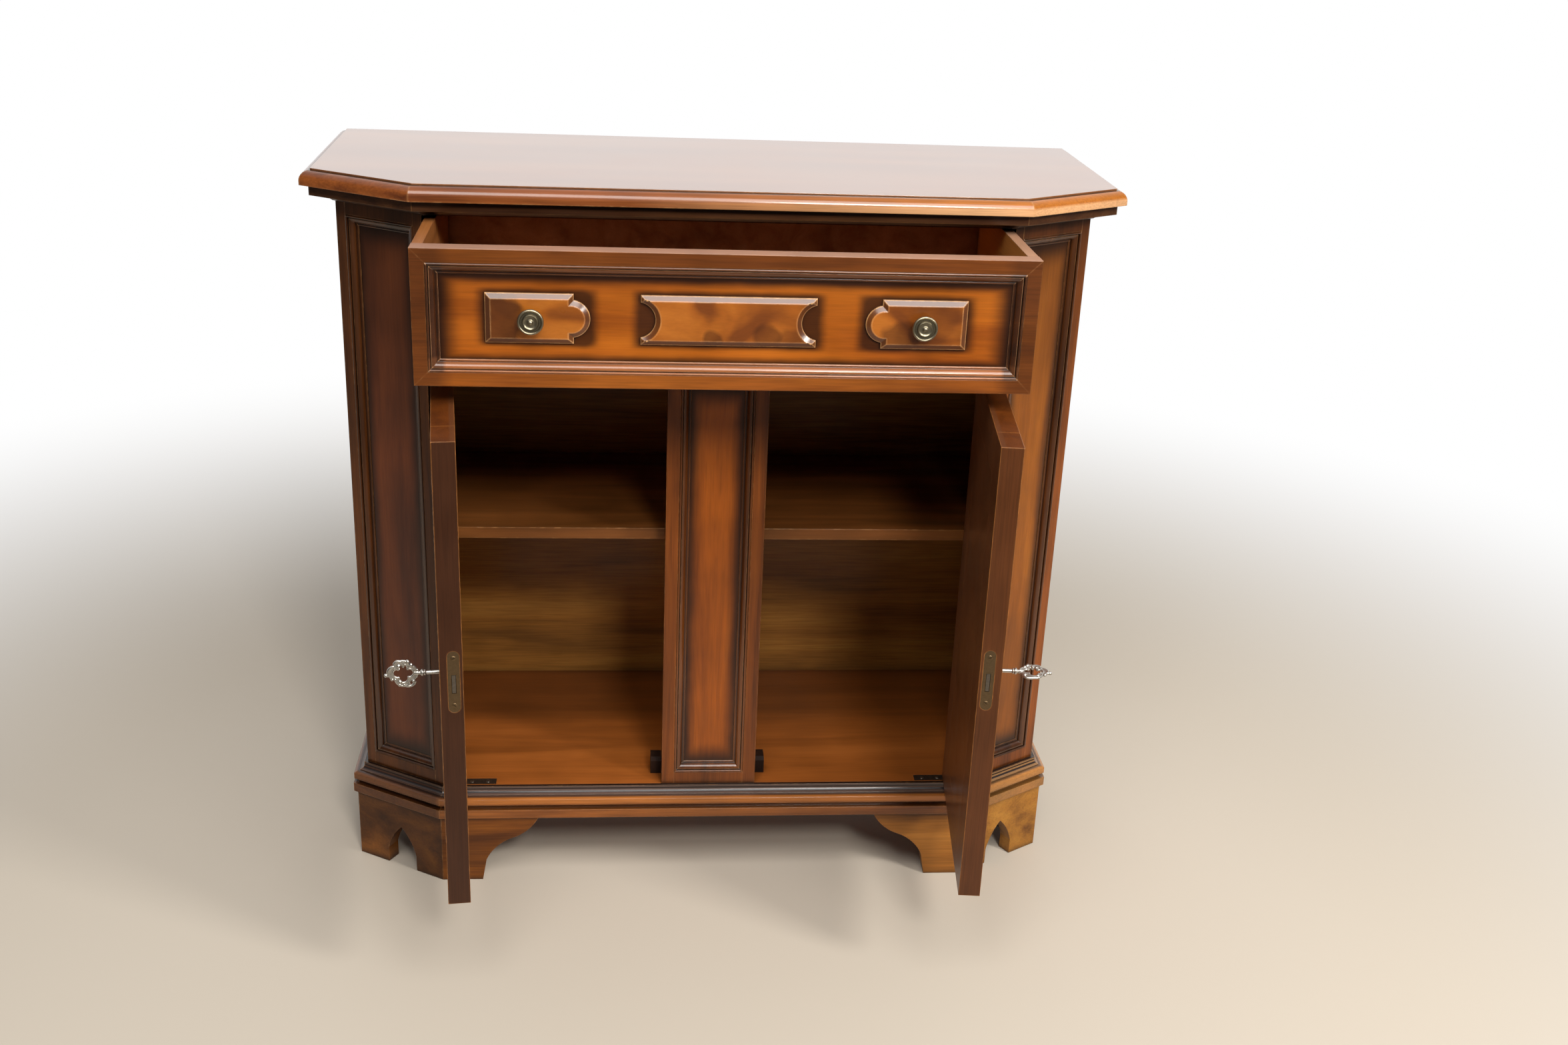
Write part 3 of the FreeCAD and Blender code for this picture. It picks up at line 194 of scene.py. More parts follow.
# the top is polished to a shine, so it mirrors what is behind it at a low angle
topWood = dict(levelWood, stain=("#84502E", "#925C36", "#A0683E"), bandMm=60, pores=0.05, cloud=0.05,
               coat=1.0, coatRough=0.12, rough=0.24, bump=0.008, smear=0.015, specular=0.9, wear=0.75,
               crevice=0.9)
lipWood = dict(levelWood, stain=("#562A14", "#7C421C", "#965424"), wear=0.9, wearMm=2.2, crevice=0.9,
               coat=0.9, coatRough=0.14)
# straight-grained boards inside, stained orange-brown and only thinly lacquered
insideWood = dict(frameWood, stain=("#80461A", "#945220", "#A25C26"), grain="level", bandMm=38, pores=0.1,
                  crevice=0.4, creviceMm=14, wear=0.25, rough=0.46, coat=0.2)
shelfWood = dict(insideWood, stain=("#5C3615", "#76461F", "#845025"), wear=0.95, wearMm=2.0)
backWood = dict(insideWood, stain=("#7D5326", "#9C682D", "#AB7737"), bandMm=34, pores=0.24)
drawerWood = dict(insideWood, stain=("#8A5A3E", "#A47250", "#B4825E"), grain="across", bandMm=30,
                  bare="#8A7466")
drawerSideWood = dict(drawerWood, stain=("#7C4A22", "#945C2F", "#A06A3A"))
# the feet are duller than the frames; the right corner foot is painted lighter as painted light, the left
# feet darker as painted shade
footWood = dict(levelWood, stain=("#5E3610", "#8C571E", "#A46B2C"), bandMm=34, coat=0.3)
litCornerFootWood = dict(footWood, stain=("#6A3E10", "#9E6822", "#B88032"))
shadedFrontFootWood = dict(footWood, stain=("#4E280C", "#744010", "#8C5218"))
shadedCornerFootWood = dict(footWood, stain=("#3A1E0C", "#5C3412", "#7C4A1A"), cloud=0.3)
darkWood = dict(frameWood, stain=("#140A06", "#20110A", "#2C180E"), coat=0.0, rough=0.7, wear=0.2)

paint(stainedWood("mahogany_centre_post", postWood), "centre_post_frame")
paint(stainedWood("mahogany_frames_level", levelWood), "top_rail", "base_frame")
paint(stainedWood("mahogany_feet", footWood), "right_front_foot", "side_feet")
paint(stainedWood("mahogany_feet_painted_light", litCornerFootWood), "right_corner_foot")
paint(stainedWood("mahogany_feet_painted_shade", shadedFrontFootWood), "left_front_foot")
paint(stainedWood("mahogany_feet_painted_deep_shade", shadedCornerFootWood), "left_corner_foot")
paint(stainedWood("mahogany_mouldings_upright", mouldingWood), "centre_post_moulding", "left_door_moulding",
      "right_door_moulding")
paint(stainedWood("mahogany_corner_mouldings", cornerMouldingWood), "left_corner_moulding",
      "right_corner_moulding")
paint(stainedWood("mahogany_bed_moulding_painted_shade", bedShadeWood), "bed_moulding")
paint(stainedWood("mahogany_top_polish", topWood), "top_panel")
paint(stainedWood("mahogany_sides", sideWood), "left_side_board", "right_side_board")
paint(stainedWood("stained_drawer_deck", insideWood), "drawer_deck")
paint(stainedWood("stained_shelf", shelfWood), "shelf")
paint(stainedWood("stained_back_board", backWood), "back_panel")
paint(stainedWood("drawer_left_side_wood", drawerSideWood), "drawer_left_side")
paint(stainedWood("drawer_inside_wood", drawerWood), "drawer_back", "drawer_bottom", "drawer_guides",
      "drawer_kickers")
paint(stainedWood("dark_stained_wood", darkWood), "foot_blocks", "door_stops")
print("plain woods done")


# Stain zones: each gives a mask over a piece, from its place on the cabinet

def pastPlane(direction, start, end, share=1.0):
    def reach(tree, place):
        along = addNode(tree, "VectorMath", {0: place, 1: direction},
                        operation="DOT_PRODUCT").outputs["Value"]
        return addNode(tree, "MapRange", {0: along, 1: start, 2: end, 3: 0.0, 4: share}).outputs[0]
    return reach


def farthest(nodeName, direction):
    return max(vertex.co.dot(direction) for vertex in nodes[nodeName].data.vertices)


# depths: how many mm short of the edge the zone begins and is full, negative past the edge
def upToEdge(direction, edge, depths, share=1.0):
    begin, full = depths
    return pastPlane(direction, edge - begin * mm, edge - full * mm, share)


def bothOf(first, second):
    return lambda tree, place: addNode(tree, "Math", {0: first(tree, place), 1: second(tree, place)},
                                       operation="MULTIPLY").outputs[0]


# covers a node's outline seen from above; beyond: the mm outside it where the zone fades
def nearOutline(nodeName, directions, beyond, share):
    fadeFrom, fadeTo = beyond

    def reach(tree, place):
        outermost = -1.0
        for direction in directions:
            along = addNode(tree, "VectorMath", {0: place, 1: direction},
                            operation="DOT_PRODUCT").outputs["Value"]
            past = addNode(tree, "Math", {0: along, 1: farthest(nodeName, direction)},
                           operation="SUBTRACT").outputs[0]
            outermost = addNode(tree, "Math", {0: past, 1: outermost}, operation="MAXIMUM").outputs[0]
        return addNode(tree, "MapRange", {0: outermost, 1: fadeFrom * mm, 2: fadeTo * mm, 3: share,
                                          4: 0.0}).outputs[0]
    return reach


# Top edge: a dark line against the top; its right half is painted lighter orange, as painted light from the
# right, and a painted highlight runs pale along its bottom there
lipLook = {"lineMm": (2.0, 3.2), "lineShare": 0.9, "line": "#180A05", "orangeMm": (-100, 250),
           "orangeShare": 0.8, "orange": "#A86420", "highlightMm": (9, 6), "highlightShare": 0.85, "lowHighlight": "#D8AC80"}
leftCant = Vector((-math.sin(cantAngle), -math.cos(cantAngle), 0))
rightCant = Vector((math.sin(cantAngle), -math.cos(cantAngle), 0))
topSides = (-rearward, leftCant, rightCant, -right, right)
topEdgeLine = nearOutline("top_panel", topSides, lipLook["lineMm"], lipLook["lineShare"])
orangeFrom, orangeTo = lipLook["orangeMm"]
lipLitRight = pastPlane(right, orangeFrom * mm, orangeTo * mm, lipLook["orangeShare"])
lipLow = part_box("top_edge_moulding")[0].z
lipLowHighlight = bothOf(lipLitRight, upToEdge(-upward, -lipLow, lipLook["highlightMm"], lipLook["highlightShare"]))
lipZones = [(lipLitRight, lipLook["orange"]), (lipLowHighlight, lipLook["lowHighlight"]), (topEdgeLine, lipLook["line"])]
paint(stainedWood("mahogany_top_edge", lipWood, lipZones), "top_edge_moulding")

# Floor board: a painted shadow darkens it towards the rear
boardShadowLook = {"rear": (0.5, 0.36), "share": 0.5, "stain": "#48260E"}
boardLow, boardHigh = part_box("floor_board")
boardDepths = [part * (boardHigh.y - boardLow.y) / mm for part in boardShadowLook["rear"]]
boardRearShadow = upToEdge(rearward, boardHigh.y, boardDepths, boardShadowLook["share"])
paint(stainedWood("stained_floor_board", insideWood, [(boardRearShadow, boardShadowLook["stain"])]), "floor_board")

# Drawer's right side: its inner face, which the lamps hardly reach, is painted orange as painted light;
# greyer on its upper edge
drawerSideLook = {"innerMm": (1.0, 0.3), "inner": "#D08A44", "topMm": (0.8, 0.2), "topShare": 0.85,
                  "top": "#A07A62"}
sideLow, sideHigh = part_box("drawer_right_side")
innerFace = upToEdge(-right, -sideLow.x, drawerSideLook["innerMm"])
upperEdge = upToEdge(upward, sideHigh.z, drawerSideLook["topMm"], drawerSideLook["topShare"])
sideZones = [(innerFace, drawerSideLook["inner"]), (upperEdge, drawerSideLook["top"])]
paint(stainedWood("drawer_right_side_wood", drawerSideWood, sideZones), "drawer_right_side")

# Plinth: a dark hollow, greyed by a painted sheen, with painted shade lines for its small steps; a more
# orange nose, partly a painted highlight; a left corner darkened as painted shade and a right one paled as
# painted light
plinthLook = {"hollowMm": (10.5, 9.3), "hollow": "#5E4A42", "noseMm": (18, 16.5), "noseShare": 0.55,
              "nose": "#B87030", "turnMm": (0, -6), "leftShare": 0.65, "left": "#42220F", "rightShare": 0.5,
              "right": "#AC7C40", "spacingMm": 3.4, "lineMm": 1.1, "line": "#1E1210"}
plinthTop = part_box("plinth_moulding")[1].z
leftTurn = -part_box("left_front_foot")[0].x
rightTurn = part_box("right_front_foot")[1].x


# painted shade lines across the hollow, where the real moulding has small steps
def stepShadeLines(tree, place):
    height = addNode(tree, "SeparateXYZ", {0: place}).outputs["Z"]
    below = addNode(tree, "Math", {0: plinthTop, 1: height}, operation="SUBTRACT").outputs[0]
    aside = addNode(tree, "Math", {0: below, 1: plinthLook["spacingMm"] / 2 * mm},
                    operation="PINGPONG").outputs[0]
    width = plinthLook["lineMm"] * mm
    return addNode(tree, "MapRange", {0: aside, 1: width / 2, 2: width, 3: 1.0, 4: 0.0}).outputs[0]


hollow = upToEdge(upward, plinthTop, plinthLook["hollowMm"])
nose = upToEdge(upward, plinthTop, plinthLook["noseMm"], plinthLook["noseShare"])
leftCornerShade = upToEdge(-right, leftTurn, plinthLook["turnMm"], plinthLook["leftShare"])
rightCornerLight = upToEdge(right, rightTurn, plinthLook["turnMm"], plinthLook["rightShare"])
plinthZones = [(nose, plinthLook["nose"]), (hollow, plinthLook["hollow"]), (leftCornerShade, plinthLook["left"]),
               (rightCornerLight, plinthLook["right"]), (bothOf(hollow, stepShadeLines), plinthLook["line"])]
paint(stainedWood("mahogany_plinth", plinthWood, plinthZones), "plinth_moulding")
print("zones done")


# Veneered panels, stained darker towards their edges and round the plaques

# how softly a dark rim turns a panel's corners, and how its inner edge wanders
rimBase = {"blendMm": 8, "wanderDetail": 2.0, "wanderCut": (0.25, 0.75)}


def edgeDistance(tree, place, panel):
    away = addNode(tree, "VectorMath", {0: place, 1: panel["centre"]}, operation="SUBTRACT").outputs[0]
    across = addNode(tree, "VectorMath", {0: away, 1: panel["along"]},
                     operation="DOT_PRODUCT").outputs["Value"]
    high = addNode(tree, "SeparateXYZ", {0: away}).outputs["Z"]
    rooms = []
    for offset, half, ease in ((across, panel["halfWidth"], 1.0),
                               (high, panel["halfHeight"], panel["endEase"])):
        size = addNode(tree, "Math", {0: offset}, operation="ABSOLUTE").outputs[0]
        room = addNode(tree, "Math", {0: half, 1: size}, operation="SUBTRACT").outputs[0]
        rooms.append(addNode(tree, "Math", {0: room, 1: ease}, operation="DIVIDE").outputs[0])
    return addNode(tree, "Math", {0: rooms[0], 1: rooms[1], 2: rimBase["blendMm"] * mm},
                   operation="SMOOTH_MIN").outputs[0]


def fadeFromEdge(tree, place, distance, rim):
    wanderLow, wanderHigh = rimBase["wanderCut"]
    wander = addNode(tree, "TexNoise", {"Vector": place, "Scale": 1 / (rim["wanderMm"] * mm),
                                        "Detail": rimBase["wanderDetail"]}).outputs[0]
    drift = rim["fadeMm"] * mm * rim["drift"]
    shift = addNode(tree, "MapRange", {0: wander, 1: wanderLow, 2: wanderHigh, 3: -drift,
                                       4: drift}).outputs[0]
    loose = addNode(tree, "Math", {0: distance, 1: shift}, operation="ADD").outputs[0]
    return addNode(tree, "MapRange", {0: loose, 1: 0.0, 2: rim["fadeMm"] * mm, 3: rim["depth"], 4: 0.0},
                   interpolation_type="SMOOTHSTEP").outputs[0]


def rimOf(panel):
    return lambda tree, place: fadeFromEdge(tree, place, edgeDistance(tree, place, panel), panel)


def panelAt(nodeName, along, rim):
    low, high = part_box(nodeName)
    width = high.x - low.x if along == right else math.hypot(high.x - low.x, high.y - low.y)
    inset = rim["insetMm"] * mm
    return dict(rim, centre=(low + high) / 2, along=along, halfWidth=width / 2 - inset,
                halfHeight=(high.z - low.z) / 2 - inset)


panelVeneer = dict(frameWood, stain=("#7C3C0C", "#A0520E", "#B46214"), bandMm=34, stretch=9, pores=0.14,
                   cloudMm=70, cloud=0.14, crevice=0.7, creviceMm=6, wear=0.0, rough=0.38)
burntEdge = "#1C0C06"
uprightRim = {"insetMm": 11, "fadeMm": 17, "depth": 0.92, "endEase": 1.7, "wanderMm": 40, "drift": 0.08}
doorRim = dict(uprightRim, fadeMm=24)

# Corners: painted shadow high up, under the top
cornerLook = {"duskMm": (260, 20), "duskShare": 0.62, "dusk": "#402412", "railMm": (75, 30), "railShare": 0.3,
              "rail": "#241209"}
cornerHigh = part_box("left_corner_frame")[1].z
cornerTopShadow = upToEdge(upward, cornerHigh, cornerLook["duskMm"], cornerLook["duskShare"])
railTopShadow = upToEdge(upward, cornerHigh, cornerLook["railMm"], cornerLook["railShare"])
topShadowZone = (cornerTopShadow, cornerLook["dusk"])
railTopShadowZone = (railTopShadow, cornerLook["rail"])
# the left corner's darker stain paints the shade that the left door casts on it
shadedLeftFrameWood = dict(frameWood, stain=("#361A0A", "#5A3010", "#703E16"), coat=0.35)
paint(stainedWood("mahogany_right_corner", frameWood, [topShadowZone, railTopShadowZone]), "right_corner_frame")
paint(stainedWood("mahogany_left_corner_painted_shade", shadedLeftFrameWood, [topShadowZone]), "left_corner_frame")

leftRun = Vector((math.cos(cantAngle), -math.sin(cantAngle), 0))
rightRun = Vector((math.cos(cantAngle), math.sin(cantAngle), 0))
uprightPanels = {
    "centre_post_panel": {"along": right, "stain": ("#74380C", "#964C0E", "#AA5C14"), "dusk": []},
    # the left corner panel's darker stain is painted shade
    "left_corner_panel": {"along": leftRun, "stain": ("#421C0E", "#5C2C14", "#6C3618"), "dusk": [topShadowZone]},
    "right_corner_panel": {"along": rightRun, "stain": ("#62340C", "#80460E", "#945614"), "dusk": [topShadowZone]},
}
for nodeName, look in uprightPanels.items():
    veneer = dict(panelVeneer, stain=look["stain"])
    rim = rimOf(panelAt(nodeName, look["along"], uprightRim))
    paint(stainedWood("veneer_" + nodeName, veneer, look["dusk"] + [(rim, burntEdge)]), nodeName)

# Doors: dark on the free edge and the top, with one plain stain over the whole inner side
doorLook = {"edgeMm": (1.0, 0.3), "left": "#3C2010", "right": "#522C12", "innerMm": (6.0, 5.0),
            "inner": "#764A2E", "topShare": 0.7, "top": "#4A240C"}
doorWood = dict(frameWood, wear=0.95, rubbed=0.55, bare="#B8783C", coat=0.3)
for side in ("left", "right"):
    doorFrame = side + "_door_frame"
    edgeOut = Vector(joints[side + "_bolt_slide"]["axis"]).normalized()
    inward = -Vector(joints[side + "_key_turn"]["axis"]).normalized()
    innerFace = farthest(doorFrame, inward)
    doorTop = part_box(doorFrame)[1].z
    freeEdge = farthest(doorFrame, edgeOut)
    innerZone = (upToEdge(inward, innerFace, doorLook["innerMm"]), doorLook["inner"])
    topZone = (upToEdge(upward, doorTop, doorLook["edgeMm"], doorLook["topShare"]), doorLook["top"])
    edgeZone = (upToEdge(edgeOut, freeEdge, doorLook["edgeMm"]), doorLook[side])
    paint(stainedWood(side + "_door_mahogany", doorWood, [innerZone, topZone, edgeZone]), doorFrame)
    rim = rimOf(panelAt(side + "_door_panel", edgeOut, doorRim))
    paint(stainedWood(side + "_door_veneer", panelVeneer, [(rim, burntEdge), innerZone]),
          side + "_door_panel")

# Drawer panel: dark rim, and a dark cloud round each plaque
drawerRim = {"insetMm": 12, "fadeMm": 24, "depth": 0.96, "endEase": 0.45, "wanderMm": 40, "drift": 0.08,
             "dropMm": 1.5}
drawerPanel = panelAt("drawer_front_panel", right, drawerRim)
drawerPanel["centre"].z -= drawerRim["dropMm"] * mm       # widens the rim along the top
plaqueHalo = {"fadeMm": 13, "depth": 0.85, "squash": 1.8, "blendMm": 14, "wanderMm": 30, "drift": 0.12}


def drawerShade(tree, place):
    rim = fadeFromEdge(tree, place, edgeDistance(tree, place, drawerPanel), drawerPanel)
    spot = addNode(tree, "SeparateXYZ", {0: place})
    aside = addNode(tree, "Math", {0: spot.outputs["X"]}, operation="ABSOLUTE").outputs[0]
    lowEnd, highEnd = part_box("drawer_right_plaque")
    lowMid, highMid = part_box("drawer_centre_plaque")
    middle = (lowMid.z + highMid.z) / 2
    lift = addNode(tree, "Math", {0: spot.outputs["Z"], 1: middle}, operation="SUBTRACT").outputs[0]
    tall = addNode(tree, "Math", {0: lift}, operation="ABSOLUTE").outputs[0]
    past = addNode(tree, "Math", {0: tall, 1: highMid.z - middle}, operation="SUBTRACT").outputs[0]
    above = addNode(tree, "Math", {0: past, 1: plaqueHalo["squash"]}, operation="MULTIPLY").outputs[0]
    gaps = []
    for centre, half in (((lowEnd.x + highEnd.x) / 2, (highEnd.x - lowEnd.x) / 2), (0.0, highMid.x)):
        offset = addNode(tree, "Math", {0: aside, 1: centre}, operation="SUBTRACT").outputs[0]
        size = addNode(tree, "Math", {0: offset}, operation="ABSOLUTE").outputs[0]
        beside = addNode(tree, "Math", {0: size, 1: half}, operation="SUBTRACT").outputs[0]
        gaps.append(addNode(tree, "Math", {0: beside, 1: above, 2: plaqueHalo["blendMm"] * mm},
                            operation="SMOOTH_MAX").outputs[0])
    nearest = addNode(tree, "Math", {0: gaps[0], 1: gaps[1]}, operation="MINIMUM").outputs[0]
    halo = fadeFromEdge(tree, place, nearest, plaqueHalo)
    return addNode(tree, "Math", {0: rim, 1: halo}, operation="MAXIMUM").outputs[0]


# Drawer front: darker towards its top and its ends; a painted reflection makes its upper edge pale
frontLook = {"panelDuskMm": (30, 10), "panelDuskShare": 0.4, "panelDusk": "#4A2408", "duskMm": (0, 30),
             "duskShare": 0.55, "endMm": (40, 24), "endShare": 0.6, "dusk": "#48240C", "topMm": (0.8, 0.2),
             "topShare": 0.7, "top": "#B4866C"}
drawerLow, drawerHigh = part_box("drawer_front_frame")


# from so many mm above the front's bottom to so many below its top
def duskOver(margins, share):
    foot, head = margins
    return pastPlane(upward, drawerLow.z + foot * mm, drawerHigh.z - head * mm, share)


drawerVeneer = dict(panelVeneer, grain="level", stain=("#823F0A", "#984F0C", "#AC5E12"))
panelDusk = duskOver(frontLook["panelDuskMm"], frontLook["panelDuskShare"])
panelZones = [(panelDusk, frontLook["panelDusk"]), (drawerShade, burntEdge)]
paint(stainedWood("veneer_drawer_panel", drawerVeneer, panelZones), "drawer_front_panel")

drawerFrameWood = dict(levelWood, stain=("#562A0C", "#7E4210", "#945216"), wear=0.35, coat=0.6)
frontDusk = [duskOver(frontLook["duskMm"], frontLook["duskShare"])]
for way in (-right, right):
    frontDusk.append(upToEdge(way, drawerHigh.x, frontLook["endMm"], frontLook["endShare"]))
frontZones = [(zone, frontLook["dusk"]) for zone in frontDusk]
frontTopReflection = upToEdge(upward, drawerHigh.z, frontLook["topMm"], frontLook["topShare"])
frontZones.append((frontTopReflection, frontLook["top"]))
paint(stainedWood("mahogany_drawer_frame", drawerFrameWood, frontZones), "drawer_front_frame")

# Drawer moulding: a painted highlight along the bottom, where its slopes face up to the light; dark at both
# ends
drawerMouldingLook = {"lowMm": (16, 13), "lowShare": 0.85, "low": "#94582E", "endMm": (18, 14), "endShare": 0.7,
              "end": "#2A140A"}
rubbedWood = dict(levelMouldingWood, wear=0.95, rubbed=0.6, bare="#C89468")
mouldingLow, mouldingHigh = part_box("drawer_front_moulding")
lowerMouldingHighlight = upToEdge(-upward, -mouldingLow.z, drawerMouldingLook["lowMm"], drawerMouldingLook["lowShare"])
mouldingZones = [(lowerMouldingHighlight, drawerMouldingLook["low"])]
for way in (-right, right):
    mouldingEnd = upToEdge(way, mouldingHigh.x, drawerMouldingLook["endMm"], drawerMouldingLook["endShare"])
    mouldingZones.append((mouldingEnd, drawerMouldingLook["end"]))
paint(stainedWood("mahogany_drawer_moulding", rubbedWood, mouldingZones), "drawer_front_moulding")

# Plaques in crotch veneer: smooth tan-orange with a few soft dark feathers under a bright polish
crotchVeneer = dict(panelVeneer, grain="level", stain=("#6A3610", "#8C4C14", "#A05C1C"),
                    stops=(0.34, 0.46, 0.62), detail=1.6, stretch=1.5, bandMm=50, swirl=1.0, pores=0.08,
                    cloud=0.05, wear=1.0, wearMm=1.6, rubbed=0.6, wearFrom=0.97, wearTo=0.84, bare="#CC9A64",
                    crevice=0.3, rough=0.34, coat=0.9, coatRough=0.24)
plaqueLook = {"bendMm": 25, "bendDetail": 1.5, "core": 0.7, "feather": "#3C1C0A", "bevelMm": (0.3, 0.7),
              "bevelShare": 0.85, "bevel": "#4C2A16",
              # each feather: x, z, radius in mm, and how dark
              "drawer_left_plaque": ((-236, 738, 34, 0.75), (-222, 759, 16, 0.45)),
              "drawer_centre_plaque": ((-16, 722, 11, 0.6), (38, 728, 15, 0.55), (62, 720, 20, 0.4)),
              "drawer_right_plaque": ((172, 726, 22, 0.6), (212, 748, 34, 0.35))}


def featherAt(x, z, radius, share):
    def reach(tree, place):
        flat = addNode(tree, "VectorMath", {0: place, 1: (1, 0, 1)}, operation="MULTIPLY").outputs[0]
        bent = addNode(tree, "TexNoise", {"Vector": place, "Scale": 1 / (plaqueLook["bendMm"] * mm),
                                          "Detail": plaqueLook["bendDetail"]}).outputs[1]
        shifted = addNode(tree, "VectorMath", {0: bent, 1: (radius, 0, radius), 2: flat},
                          operation="MULTIPLY_ADD").outputs[0]
        middle = (x + radius / 2, 0, z + radius / 2)
        gap = addNode(tree, "VectorMath", {0: shifted, 1: middle}, operation="DISTANCE").outputs["Value"]
        core = radius * plaqueLook["core"]
        return addNode(tree, "MapRange", {0: gap, 1: core, 2: radius, 3: share, 4: 0.0}).outputs[0]
    return reach


for nodeName in ("drawer_left_plaque", "drawer_centre_plaque", "drawer_right_plaque"):
    zones = []
    for x, z, radius, share in plaqueLook[nodeName]:
        zones.append((featherAt(x * mm, z * mm, radius * mm, share), plaqueLook["feather"]))
    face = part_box(nodeName)[0].y
    bevelFrom, bevelTo = plaqueLook["bevelMm"]
    bevel = pastPlane(rearward, face + bevelFrom * mm, face + bevelTo * mm, plaqueLook["bevelShare"])
    zones.append((bevel, plaqueLook["bevel"]))
    paint(stainedWood("crotch_" + nodeName, crotchVeneer, zones), nodeName)
print("panels done")


# Metals: tarnish in spots, dirt in the hollows, and duller where it is tarnished

metalBase = {"detail": 5.0, "spotRough": 0.65, "spotCut": (0.3, 0.7), "hollowCut": (0.9, 0.4), "duller": 0.1,
             "brighter": 0.06, "bump": 0.15, "reliefMm": 0.2, "rays": 6}


def wornMetal(name, look):
    material, tree, place = newMaterial(name)
    spotLow, spotHigh = metalBase["spotCut"]
    hollowLow, hollowHigh = metalBase["hollowCut"]
    spots = addNode(tree, "TexNoise", {
        "Vector": place, "Scale": 1 / (look["spotMm"] * mm), "Detail": metalBase["detail"],
        "Roughness": metalBase["spotRough"]}).outputs[0]
    colour = addNode(tree, "Mix", {
        0: spots, 6: linearColour(look["tarnish"]), 7: linearColour(look["metal"])},
        data_type="RGBA").outputs[2]
    depth = addNode(tree, "AmbientOcclusion", {"Distance": look["hollowMm"] * mm},
                    samples=metalBase["rays"]).outputs["AO"]
    sunk = addNode(tree, "MapRange", {
        0: depth, 1: hollowLow, 2: hollowHigh, 3: 0.0, 4: look["hollow"]}).outputs[0]
    colour = addNode(tree, "Mix", {0: sunk, 6: colour, 7: linearColour(look["dirt"])},
                     data_type="RGBA").outputs[2]
    rough = addNode(tree, "MapRange", {
        0: spots, 1: spotLow, 2: spotHigh, 3: look["rough"] + metalBase["duller"],
        4: look["rough"] - metalBase["brighter"]}).outputs[0]
    relief = addNode(tree, "Bump", {
        "Height": spots, "Strength": metalBase["bump"], "Distance": metalBase["reliefMm"] * mm}).outputs[0]
    surface = addNode(tree, "BsdfPrincipled", {
        "Base Color": colour, "Metallic": 1.0, "Roughness": rough, "Normal": relief})
    showSurface(tree, surface)
    return material


# pale brass with grey-brown spots, dark in the knobs' rings
agedBrass = wornMetal("aged_brass", {
    "metal": "#B8AE94", "tarnish": "#766C58", "dirt": "#1C170F", "spotMm": 3,
    "hollowMm": 3, "hollow": 0.85, "rough": 0.36})
# dull brown brass of the locks
plateBrass = wornMetal("dull_plate_brass", {
    "metal": "#927A5A", "tarnish": "#64503A", "dirt": "#2A2014", "spotMm": 4,
    "hollowMm": 2, "hollow": 0.6, "rough": 0.46})
# bright nickel with dark hollows
keyNickel = wornMetal("nickelled_key", {
    "metal": "#E2DED6", "tarnish": "#A09A90", "dirt": "#2A2520", "spotMm": 2.5,
    "hollowMm": 1.6, "hollow": 0.75, "rough": 0.36})
# brown-grey steel of hinges, pins and bolts
dullSteel = wornMetal("dull_hinge_steel", {
    "metal": "#A0968A", "tarnish": "#64594C", "dirt": "#1C1610", "spotMm": 3,
    "hollowMm": 2, "hollow": 0.6, "rough": 0.4})
# brighter steel of the pivot plates' screws
screwSteel = wornMetal("rubbed_screw_steel", {
    "metal": "#D2CCC0", "tarnish": "#948C7E", "dirt": "#1C1610", "spotMm": 2,
    "hollowMm": 1, "hollow": 0.6, "rough": 0.34})
paint(plateBrass, "left_lock_case", "right_lock_case", "strike_plates")
paint(dullSteel, "carcass_hinge_plates", "left_door_hinge_leaves", "right_door_hinge_leaves", "shelf_pins",
      "left_lock_bolt", "right_lock_bolt")
print("metals done")


# Turned pieces are drawn along +X from a disc, then set in place

smoothAngle = math.radians(38)


def turnOut(steps, segments):
    bpy.ops.object.select_all(action="DESELECT")
    out, radius = steps[0]
    bpy.ops.mesh.primitive_circle_add(vertices=segments, radius=radius * mm, fill_type="NGON",
                                      rotation=(0, math.pi / 2, 0), location=(out * mm, 0, 0))
    bpy.ops.object.transform_apply(location=True, rotation=True, scale=True)
    bpy.ops.object.mode_set(mode="EDIT")
    bpy.ops.mesh.select_all(action="SELECT")
    for nextOut, nextRadius in steps[1:]:
        bpy.ops.mesh.extrude_region_move(TRANSFORM_OT_translate={"value": ((nextOut - out) * mm, 0, 0)})
        scale = nextRadius / radius
        bpy.ops.transform.resize(value=(1, scale, scale), center_override=(nextOut * mm, 0, 0))
        out, radius = nextOut, nextRadius
    bpy.ops.mesh.select_all(action="SELECT")
    bpy.ops.mesh.normals_make_consistent(inside=False)
    bpy.ops.object.mode_set(mode="OBJECT")
    return bpy.context.object


def setPiece(piece, place, name):
    bpy.ops.object.select_all(action="DESELECT")
    piece.select_set(True)
    bpy.context.view_layer.objects.active = piece
    piece.matrix_world = place
    bpy.ops.object.transform_apply(location=True, rotation=True, scale=True)
    bpy.ops.object.shade_smooth_by_angle(angle=smoothAngle)
    piece.name = name
    piece.data.name = name


def copyOf(piece):
    bpy.ops.object.select_all(action="DESELECT")
    piece.select_set(True)
    bpy.context.view_layer.objects.active = piece
    bpy.ops.object.duplicate(linked=False)
    return bpy.context.object


def joinPieces(pieces):
    bpy.ops.object.select_all(action="DESELECT")
    for piece in pieces:
        piece.select_set(True)
    bpy.context.view_layer.objects.active = pieces[0]
    bpy.ops.object.join()
    return bpy.context.object


# turns +X to outward and +Z to topWay
def axesPlace(origin, outward, topWay):
    aside = topWay.cross(outward).normalized()
    turn = Matrix((outward, aside, topWay)).transposed().to_4x4()
    return Matrix.Translation(origin) @ turn


